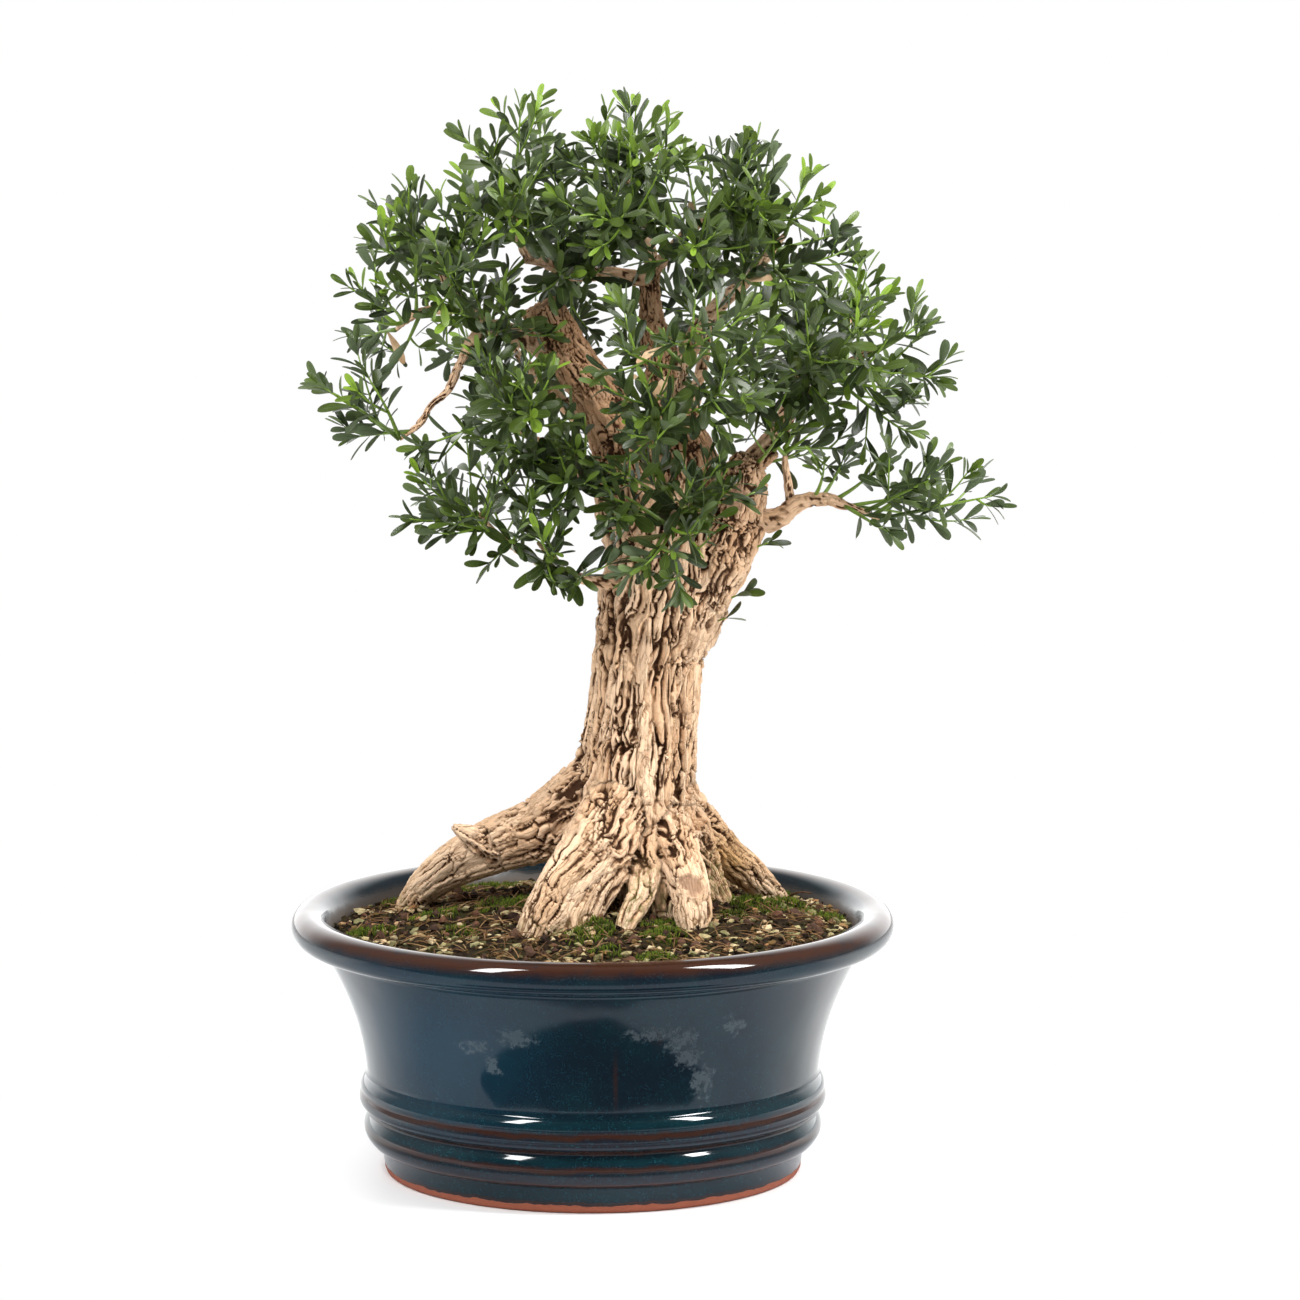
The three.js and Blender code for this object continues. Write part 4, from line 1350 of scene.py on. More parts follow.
@dataclass(frozen=True)
class LeafShape:
    """A box leaf of unit length: narrow at its foot, widest two thirds up, with a blunt round tip."""

    arch: float
    fold: float
    width: float = 0.3
    thickness: float = 0.02
    columns: int = 2
    rows: int = 7
    widest: float = 0.68
    foot: float = 0.15
    tip: float = 0.3

    def outline(self, along: float) -> float:
        """The half width, as a share of the widest, at a share of the length."""
        if along < self.widest:
            return self.foot + (1.0 - self.foot) * math.sin(math.pi / 2 * along / self.widest) ** 1.4
        beyond = (along - self.widest) / (1.0 - self.widest)
        return math.sqrt(1.0 - (1.0 - self.tip**2) * beyond**2.2)

    @staticmethod
    def along(height: float) -> float:
        """The share of the leaf's length for a row of the grid, with closer rows at the tip."""
        return 1.0 - (1.0 - (height + 1.0) / 2.0) ** 1.5

    def stamp(self) -> Stamp:
        """Makes the leaf as a thin closed body with its UV map."""
        bm = bmesh.new()
        blade = bm.loops.layers.uv.new("blade")
        under = bm.faces.layers.int.new("under")
        bmesh.ops.create_grid(bm, x_segments=self.columns, y_segments=self.rows, size=1.0)
        for face in only(BMFace, bmesh.ops.duplicate(bm, geom=geometry(bm))["geom"]):
            face[under] = 1
        for face in bm.faces:
            for loop in face.loops:
                across = (loop.vert.co.x + 1) / 2
                loop[blade].uv = (across + 2.0 * face[under], self.along(loop.vert.co.y))
        for vert in bm.verts:
            x, along = vert.co.x, self.along(vert.co.y)
            inner = abs(x) < 0.99 and 0.001 < along < 0.999
            half = self.outline(along) * self.width / 2
            crease = self.fold * half * abs(x)
            drop = self.thickness if inner and vert.link_faces[0][under] else 0.0
            vert.co = Vector((x * half, along, crease - self.arch * along**2 - drop))
        bmesh.ops.remove_doubles(bm, verts=bm.verts[:], dist=1e-5)
        bmesh.ops.reverse_faces(bm, faces=[face for face in bm.faces if face[under]])
        for edge in bm.edges:
            edge.smooth = edge.link_faces[0][under] == edge.link_faces[-1][under]
        bm.faces.layers.int.remove(under)
        return Stamp(mesh_of(bm, "leaf_shape"), ["tint", "youth", "dry"])


@dataclass(frozen=True)
class Stem(Line):
    """One bent stem: it leaves at start, leans through bend and ends at tip. Sizes are in millimetres."""

    start: Vector
    bend: Vector
    tip: Vector
    radius: float
    tip_radius: float
    number: int = 0

    def point(self, share: float) -> Vector:
        """The point at a share of the stem."""
        rest = 1.0 - share
        return self.start * rest**2 + self.bend * (2 * rest * share) + self.tip * share**2

    def along(self, share: float) -> Vector:
        """The unit direction at a share of the stem."""
        return ((self.bend - self.start) * (1.0 - share) + (self.tip - self.bend) * share).normalized()

    def thickness(self, share: float) -> float:
        """The radius at a share of the stem."""
        return self.radius + (self.tip_radius - self.radius) * share

    def length(self) -> float:
        """The stem's length, near enough for spacing leaves."""
        middle = self.point(0.5)
        return (middle - self.start).length + (self.tip - middle).length


@dataclass
class Foliage:
    """The leafy shoots. Lengths are in millimetres and angles in degrees.

    Rows of shoots are [share of the limb where it starts, x, y, z of its tip]. Rows of clearings are [x,
    height as it is seen, radius, y behind which leaves stay], and rows of flushes [x, seen height, radius].
    """

    effects: Effects
    wood: Wood
    shoots: dict[str, Rows] = field(default_factory=lambda: {
        "crown_left": ((1, -42, 0, 640), (0.75, -64, -28, 618), (0.8, -20, 36, 614), (0.5, -76, 28, 588),
            (0.45, -46, -64, 586), (0.4, -38, 78, 576)),
        "crown_middle": ((0.85, 0, -18, 624), (1, 26, 16, 638), (0.8, 46, -38, 620), (0.5, 6, -80, 584),
            (0.6, 32, 74, 592)),
        "crown_right": ((1, 88, 22, 610), (0.8, 102, -46, 592), (0.5, 60, -92, 568), (0.9, 104, 84, 566)),
        "shoulder": ((1, 126, 0, 598), (0.85, 146, 48, 562)),
        "right_rise": ((1, 168, 18, 536), (0.8, 128, 98, 504), (0.6, 126, -84, 510)),
        "right_reach": ((1, 198, 12, 512), (0.9, 204, -28, 482), (0.7, 180, 60, 466), (0.65, 164, -76, 494),
            (0.45, 186, -6, 450)),
        "right_arm": ((1, 238, -18, 412), (0.9, 204, -42, 426), (0.8, 194, 16, 396)),
        "right_spur": ((1, 150, 18, 436),),
        "front": ((0.9, 18, -124, 512), (1, 62, -130, 526), (0.75, 94, -122, 482), (0.5, 38, -122, 456)),
        "low_front": ((1, 22, -84, 372), (0.7, 66, -84, 384)),
        "middle_left": ((0.9, -68, -62, 500), (0.7, -34, -94, 478), (1, -102, -46, 444),
            (0.4, -16, -90, 430)),
        "low_left": ((1, -86, -52, 400), (0.7, -54, -60, 382), (0.45, -24, -70, 372)),
        "left_rise": ((1, -112, -12, 578), (0.6, -86, -66, 552), (0.7, -94, 48, 552)),
        "left_reach": ((0.9, -138, -26, 540), (1, -134, 16, 504)),
        "left_arm": ((1, -158, -30, 478), (0.85, -142, -8, 446)),
        "back_right": ((1, 74, 132, 534), (0.6, 102, 112, 462), (0.5, 32, 124, 486)),
        "back_left": ((1, -70, 100, 512), (0.7, -66, 78, 450), (0.5, -6, 104, 440)),
    })
    extra: dict[str, Rows] = field(default_factory=lambda: {
        "low_left": ((0.9, -100, -60, 428), (0.75, -72, -82, 414), (0.6, -44, -86, 398),
            (0.4, -22, -92, 388), (0.95, -60, -14, 424), (0.85, -92, -2, 416), (0.55, -34, -58, 440),
            (0.3, -6, -84, 372)),
        "low_front": ((0.3, 28, -66, 446), (0.2, 44, -60, 424), (0.15, 60, -58, 412), (0.35, 10, -92, 408),
            (0.6, 32, -100, 382), (0.8, 52, -96, 368), (1, 62, -90, 400), (0.5, 82, -76, 424),
            (0.25, 18, -96, 436), (0.45, 60, -96, 432)),
        "middle_left": ((0.6, -52, -84, 452), (0.3, -8, -84, 448), (0.9, -62, -10, 494)),
        "cross_limb": ((0.35, 4, -44, 566), (0.55, -18, -48, 548), (0.75, -40, -40, 574),
            (0.6, -22, 52, 560), (0.2, 16, 48, 532), (0.45, -6, 50, 528), (0.7, -28, 40, 530),
            (0.3, 2, -30, 586), (0.1, 18, 36, 506), (0.5, -10, 34, 504)),
        "left_rise": ((0.8, -112, 20, 586), (0.5, -76, -32, 584), (0.35, -84, -46, 520),
            (0.9, -128, -20, 562)),
        "left_reach": ((0.55, -104, -48, 548), (0.4, -96, 14, 548), (0.8, -128, -44, 520)),
        "side_limb": ((0.35, -50, -50, 528), (0.6, -70, -46, 538), (0.25, -34, -44, 514),
            (0.5, -52, 34, 532)),
        "front": ((0.55, 74, -92, 462), (0.35, 20, -84, 478), (0.75, 34, -104, 532)),
        "shoulder": ((0.4, 92, -38, 556), (0.6, 104, 52, 560), (0.75, 116, -40, 540)),
        "crown_middle": ((0.35, 12, -50, 590), (0.7, 8, 44, 616)),
        "right_rise": ((0.5, 140, -22, 532), (0.35, 92, -40, 486)),
        "left_arm": ((1, -132, -30, 484), (0.9, -138, -16, 462)),
        "right_arm": ((0.95, 200, -8, 424), (0.5, 138, -26, 432), (0.66, 168, -22, 428),
            (0.8, 186, -8, 410), (0.55, 150, 10, 430), (0.75, 176, -30, 392)),
        "right_spur": ((1, 128, -6, 464), (0.85, 104, -14, 452), (0.9, 136, 10, 452)),
        "burl_stub": ((0.4, 112, -30, 452), (0.9, 124, -14, 456)),
        "back_left": ((0.3, -14, 60, 490), (0.2, -6, 46, 478)),
    })
    limb_shoots: tuple[str, ...] = (
        "side_limb", "cross_limb", "crown_left", "crown_middle", "crown_right", "shoulder", "right_rise",
        "right_reach", "left_rise", "left_reach", "middle_left", "low_left", "low_front", "front",
        "back_right", "back_left", "right_spur", "left_arm", "right_arm", "burl_stub",
    )
    bark_shoots: Rows = (
        (80, -6, 348, 12), (76, 4, 334, 5), (98, -8, 380, 9), (62, -30, 396, 14), (36, -30, 470, 15),
    )
    clearings: Rows = (
        (-27, 518, 10, -4), (-16, 497, 9, -4), (-4, 476, 10, -4), (5, 454, 12, -4), (14, 430, 10, -4),
        (35, 502, 9, 12), (40, 480, 7, 10), (-32, 551, 8, 4), (93, 424, 16, -8), (-83, 475, 11, 300),
        (-96, 460, 15, 300), (-109, 450, 11, 300), (124, 421, 8, 300), (45, 428, 9, -6), (36, 404, 9, -6),
        (62, 366, 10, -6), (24, 384, 8, -6),
    )
    flushes: tuple[tuple[float, float, float], ...] = (
        (-41, 645, 15), (-106, 566, 18), (-77, 512, 16), (128, 593, 20), (164, 524, 24), (4, 624, 14),
    )
    seen_rise: float = 0.189
    limb_shoot_spacing: float = 24.0
    limb_shoot_length: Pair = (34.0, 60.0)
    airy: tuple[str, ...] = ("right_arm", "left_arm", "right_spur")
    airy_spacing: float = 1.5
    leader_radius: float = 1.5
    side_radius: float = 0.8
    bud_radius: float = 0.7
    tip_radius: float = 0.45
    side_first: float = 9.0
    side_spacing: float = 9.6
    side_reach: float = 0.78
    side_longest: float = 44.0
    side_rise: float = 0.26
    side_spread: float = 44.0
    bare: float = 14.0
    side_bare: float = 4.0
    leaf_length: Pair = (18.0, 25.5)
    leaf_spacing: float = 7.2
    leaf_spread: Pair = (40.0, 66.0)
    missing: Pair = (0.23, 0.4)
    missing_from: Pair = (60.0, 150.0)
    dry_share: float = 0.02

    def __post_init__(self) -> None:
        """Makes the leaf stamps and the leaf's and the stem's materials."""
        shapes = (
            LeafShape(arch=0.06, fold=0.26), LeafShape(arch=0.16, fold=0.12, width=0.28),
            LeafShape(arch=-0.05, fold=0.34, width=0.33), LeafShape(arch=0.26, fold=0.18, width=0.26),
        )
        self.stamps = [shape.stamp() for shape in shapes]
        self.finishes = [LeafFinish(self.effects).material(), StemFinish(self.effects).material()]

    def build(self) -> None:
        """Makes one piece for each shoot, and the few small shoots on the trunk."""
        rows = [(limb, *row) for limb, found in self.shoots.items() for row in found]
        leaves = 0
        for number, (limb, share, *tip) in enumerate(rows):
            bm = self._start()
            leader = self._leader(number, self.wood.middle(limb).point(share), Vector(tip))
            leaves += self._shoot(bm, [leader, *self._side_stems(leader, limb in self.airy)])
            node = f"spray_{number + 1:02d}"
            place_piece(mesh_of(bm, "spray"), f"leafy_{node}", self.finishes, [node])
        for index, limb in enumerate(self.limb_shoots):
            leaves += self._limb_shoots(index, limb)
        leaves += self._bark_shoots()
        log.info("leaves: %d", leaves)

    @staticmethod
    def _start() -> BMesh:
        """An empty bmesh with the layers that leaves and stems share."""
        bm = bmesh.new()
        bm.loops.layers.uv.new("blade")
        for name in ("tint", "youth", "dry"):
            bm.verts.layers.float.new(name)
        return bm

    def _leader(self, number: int, start: Vector, tip: Vector) -> Stem:
        """The main stem of one shoot, bent a little to one side."""
        turned = side_of((tip - start).normalized(), 360 * draw(number, 5))
        bend = (start + tip) / 2 + turned * ((tip - start).length * 0.09) - UP * 2.0
        return Stem(start, bend, tip, self.leader_radius, self.tip_radius, number)

    def _limb_shoots(self, index: int, limb: str) -> int:
        """The shoots that fill the crown: some listed, and short ones all along a limb.

        Args:
            index: The limb's number.
            limb: The limb's name.

        Returns:
            How many leaves were added.
        """
        bm = self._start()
        middle = self.wood.middle(limb)
        rows = [(share, Vector(tip)) for share, *tip in self.extra.get(limb, ())]
        count = 0 if limb in self.airy else round(middle.length() / self.limb_shoot_spacing)
        for place in range(count):
            share = 0.3 + 0.7 * (place + draw(index, place, 31)) / count
            along = middle.along(share, 0.01)
            side = side_of(along, GOLDEN_ANGLE * place + 360 * draw(index, 32))
            out = side + along * 0.35 + UP * 0.45
            reach = between(*self.limb_shoot_length, index, place, 33)
            rows.append((share, middle.point(share) + out.normalized() * reach))
        leaves = 0
        for place, (share, tip) in enumerate(rows):
            leader = self._leader(100 + index * 20 + place, middle.point(share), tip)
            if not self._cleared(leader.point(0.8), (index, place)):
                leaves += self._shoot(bm, [leader, *self._side_stems(leader, True)])
        place_piece(mesh_of(bm, "shoots"), f"shoots_on_{limb}", self.finishes)
        return leaves

    def _bark_shoots(self) -> int:
        """The small shoots that break straight from the bark. Returns how many leaves were added."""
        bm = self._start()
        leaves = 0
        way = Vector((1.0, -0.5, 0.45)).normalized()
        for index, (*place, length) in enumerate(self.bark_shoots):
            start = Vector(place)
            tip = start + way * length
            stem = Stem(start, (start + tip) / 2, tip, self.bud_radius, self.tip_radius, 2000 + index)
            leaves += self._shoot(bm, [stem])
        place_piece(mesh_of(bm, "buds"), "trunk_shoots", self.finishes)
        return leaves

    def _side_stems(self, leader: Stem, airy: bool) -> list[Stem]:
        """Side shoots turned round a leader, longer the further they are below its tip.

        Args:
            leader: The leader.
            airy: Whether they stand further apart.

        Returns:
            The side shoots.
        """
        length, number = leader.length(), leader.number
        found = []
        spacing = self.side_spacing * (self.airy_spacing if airy else 1.0)
        count = max(1, int((length - self.bare - self.side_first) / spacing) + 1)
        for place in range(count):
            below = self.side_first + spacing * place
            reach = min(self.side_longest, self.side_reach * below + 6.0)
            reach *= between(0.8, 1.15, number, place, 3)
            share = max(0.12, 1 - below / length)
            start, along = leader.point(share), leader.along(share)
            side = side_of(along, GOLDEN_ANGLE * place + 360 * draw(number, 1))
            spread = math.radians(self.side_spread * between(0.8, 1.25, number, place, 4))
            out = along * math.cos(spread) + side * math.sin(spread)
            tip = start + out * reach + UP * (self.side_rise * reach)
            bend = start + out * (reach * 0.55) + UP * (0.02 * reach)
            found.append(Stem(start, bend, tip, self.side_radius, self.tip_radius, number * 20 + place + 1))
        return found

    def _shoot(self, bm: BMesh, stems: Sequence[Stem]) -> int:
        """Adds the stems of one shoot with their leaves.

        Args:
            bm: The bmesh to add to.
            stems: The leader first, then its side shoots.

        Returns:
            How many leaves were added.
        """
        leader, *sides = stems
        sides = [stem for stem in sides if not self._cleared(stem.point(0.7), (stem.number,))]
        leaves = self._leaves(bm, leader, self.bare)
        leaves += sum(self._leaves(bm, stem, self.side_bare) for stem in sides)
        youth = bm.verts.layers.float["youth"]
        for stem in (leader, *sides):
            verts = plain_tube(bm, stem, 6 if stem is leader else 4, 6)
            for vert in verts:
                vert[youth] = 1.0 - smooth_step((vert.co - stem.tip).length, 16.0, 60.0)
            for face in {face for vert in verts for face in vert.link_faces}:
                face.material_index = 1
        return leaves

    def _leaves(self, bm: BMesh, stem: Stem, bare: float) -> int:
        """Adds opposite pairs of leaves along one stem, each pair turned a quarter from the next.

        Args:
            bm: The bmesh to add to.
            stem: The stem.
            bare: The length at its foot that bears no leaf.

        Returns:
            How many leaves were added.
        """
        length, number, (x, y, z) = stem.length(), stem.number, stem.tip
        seen = z + self.seen_rise * y
        flush = draw(number, 8) < 0.05 + 0.22 * smooth_step(z, 430.0, 640.0) or any(
            math.hypot(x - row[0], seen - row[1]) < row[2] for row in self.flushes
        )
        fewest, most = self.missing
        missing = fewest + (most - fewest) * smooth_step(x, *self.missing_from)
        added = 0
        for pair in range(max(2, int((length - bare) / self.leaf_spacing) + 1)):
            below = pair * self.leaf_spacing * (0.55 + 0.45 * min(1.0, pair / 3.0))
            share = 1.0 - below / length
            if share < 0.0:
                break
            base, along = stem.point(share), stem.along(share)
            turn = 360 * draw(number, 2) + 90 * pair + between(-14, 14, number, pair, 6)
            side = side_of(along, turn)
            for half in (1, -1):
                key = (number, pair, half + 2)
                if pair > 1 and draw(*key, 11) < missing or self._cleared(base, key):
                    continue
                youth = max(0.0, 1.0 - pair / 2.5) * between(0.5, 1.0, *key, 12) if flush else 0.0
                if not flush and pair == 0:
                    youth = 0.3 * draw(*key, 13)
                self._leaf(bm, base, (along, side * half), min(1.0, pair / 4.0), youth, key)
                added += 1
        return added

    def _cleared(self, place: Vector, key: tuple[float, ...]) -> bool:
        """Whether a leaf there, with its key for draws, is left out so that the crown is open."""
        seen = place.z + self.seen_rise * place.y
        return any(
            place.y < nearest and math.hypot(place.x - x, seen - z) < reach * between(0.75, 1.15, *key, 41)
            for x, z, reach, nearest in self.clearings
        )

    def _leaf(
        self, bm: BMesh, base: Vector, ways: tuple[Vector, Vector], age: float, youth: float,
        key: tuple[float, ...],
    ) -> None:
        """Adds one leaf.

        Args:
            bm: The bmesh to add to.
            base: Where the leaf's foot is.
            ways: The stem's direction there, and the side of it that the leaf is on.
            age: From 0 at the tip to 1 for a grown leaf.
            youth: How lime green it is.
            key: Numbers that name the leaf for its draws.
        """
        along, side = ways
        low, high = self.leaf_spread
        spread = math.radians((low * 0.55 + (high - low * 0.55) * age) * between(0.82, 1.12, *key, 14))
        out = along * math.cos(spread) + side * math.sin(spread)
        face = square_to(out, along + UP * 0.45)
        face = Matrix.Rotation(math.radians(between(-58, 58, *key, 15)), 3, out) @ face
        size = between(*self.leaf_length, *key, 16) * (0.62 + 0.38 * age)
        turned = Matrix((out.cross(face) * between(0.88, 1.16, *key, 17), out, face)).transposed()
        matrix = Matrix.Translation(base) @ (turned * size).to_4x4()
        stamp = self.stamps[int(draw(*key, 18) * len(self.stamps))]
        dry = 1.0 if age >= 1.0 and draw(*key, 19) < self.dry_share else 0.0
        stamp.press(bm, matrix, tint=draw(*key, 20), youth=youth, dry=dry)


def curve(start: Pair, control: Pair, end: Pair, steps: int) -> list[Pair]:
    """Points of a quadratic curve, without its first.

    Args:
        start: Where it starts.
        control: The point that it leans to.
        end: Where it ends.
        steps: How many points there are.

    Returns:
        The points.
    """
    found = []
    for step in range(1, steps + 1):
        share = step / steps
        weights = ((1 - share) ** 2, 2 * share * (1 - share), share**2)
        found.append(tuple(sum(w * p[i] for w, p in zip(weights, (start, control, end))) for i in (0, 1)))
    return found


@dataclass
class Pot:
    """The round pot. Radii and heights are in millimetres."""

    effects: Effects
    segments: int = 160
    curve_steps: int = 10
    foot: Row = (126.0, 2.5, 127.5, 15.0)
    ribs: tuple[tuple[float, ...], ...] = (
        (133.5, 18.0, 143.0, 27.0, 134.5, 37.5),
        (137.6, 39.6, 143.6, 43.5, 140.0, 50.4),
        (140.0, 50.4, 141.9, 55.2, 136.6, 60.0),
    )
    groove: float = 0.8
    flare: Row = (140.0, 100.0, 165.0, 139.0)
    lip: tuple[float, float, float] = (172.0, 150.0, 10.0)
    lip_turns: int = 20
    inner_wall: tuple[Pair, ...] = (
        (165.0, 158.6), (161.5, 155.0), (158.0, 146.0), (137.5, 102.0), (128.5, 59.0), (119.5, 22.0),
        (112.0, 14.0),
    )
    floor: float = 14.0
    drain_radius: float = 12.0
    drain_offset: float = 62.0

    def outline(self) -> list[Pair]:
        """The pot's outline as radii and heights, from the middle of its base round to its floor."""
        (radius, chamfer), here = self.foot[:2], self.foot[2:]
        points = [(0.0, 0.0), (radius - chamfer, 0.0), (radius - chamfer * 0.3, chamfer * 0.3)]
        points += [(radius, chamfer), here]
        for start_radius, start, reach, middle, end_radius, end in self.ribs:
            if here != (start_radius, start):
                groove = ((here[0] + start_radius) / 2 - self.groove, (here[1] + start) / 2)
                points += curve(here, groove, (start_radius, start), 4)
            points += curve((start_radius, start), (reach, middle), (end_radius, end), self.curve_steps)
            here = (end_radius, end)
        points += curve(here, self.flare[:2], self.flare[2:], 2 * self.curve_steps)
        middle_radius, middle, roll = self.lip
        for step in range(self.lip_turns + 1):
            angle = math.pi * (step / self.lip_turns - 0.5)
            points.append((middle_radius + roll * math.cos(angle), middle + roll * math.sin(angle)))
        return [*points, *self.inner_wall, (0.0, self.floor)]

    def build(self) -> None:
        """Spins the outline into a bowl and drills its drain holes."""
        bm = bmesh.new()
        verts = [bm.verts.new((radius, 0.0, height)) for radius, height in self.outline()]
        edges = [bm.edges.new(pair) for pair in zip(verts, verts[1:])]
        bmesh.ops.spin(
            bm, geom=verts + edges, cent=(0, 0, 0), axis=(0, 0, 1), angle=math.tau,
            steps=self.segments, use_merge=True, use_duplicate=False,
        )
        bmesh.ops.remove_doubles(bm, verts=bm.verts[:], dist=1e-3)
        bmesh.ops.recalc_face_normals(bm, faces=bm.faces[:])
        drills = [self._drill(side) for side in (-1, 1)]

        def dress(holder: Object) -> None:
            """Cuts the drain holes."""
            for drill in drills:
                cut = holder.modifiers.new("drain", "BOOLEAN")
                cut.operation = "DIFFERENCE"
                cut.solver = "EXACT"
                cut.object = drill

        mesh = applied(mesh_of(bm, "bowl"), "bowl_drilled", dress)
        for drill in drills:
            bpy.data.objects.remove(drill)
        place_piece(mesh, "glazed_pot", [GlazeFinish(self.effects).material()], ["pot"])

    def _drill(self, side: int) -> Object:
        """A cylinder in the place of one drain hole."""
        bm = bmesh.new()
        bmesh.ops.create_cone(
            bm, cap_ends=True, segments=48, radius1=self.drain_radius, radius2=self.drain_radius,
            depth=4 * self.floor, matrix=Matrix.Translation((side * self.drain_offset, 0.0, 0.0)),
        )
        return linked("drill", mesh_of(bm, "drill", smooth=False))


@dataclass(frozen=True)
class Grit:
    """One kind of grain on the soil: where it is picked, how large it is and how it looks."""

    name: str
    finish: str
    above: float
    smallest: float
    spread: float
    power: float
    squash: float
    seeds: range
    rough: float
    shades: tuple[Colour, ...]
    stain: Colour
    stain_share: float = 0.5

    def stamps(self) -> list[Stamp]:
        """Makes its angular grains of unit radius: balls whose corners are moved inwards."""
        found = []
        for seed in self.seeds:
            bm = bmesh.new()
            bmesh.ops.create_icosphere(bm, subdivisions=1, radius=1.0)
            for index, vert in enumerate(bm.verts):
                vert.co *= 1.0 - self.rough * draw(seed, index, 21)
            found.append(Stamp(mesh_of(bm, "pebble", smooth=False), ["tint"]))
        return found


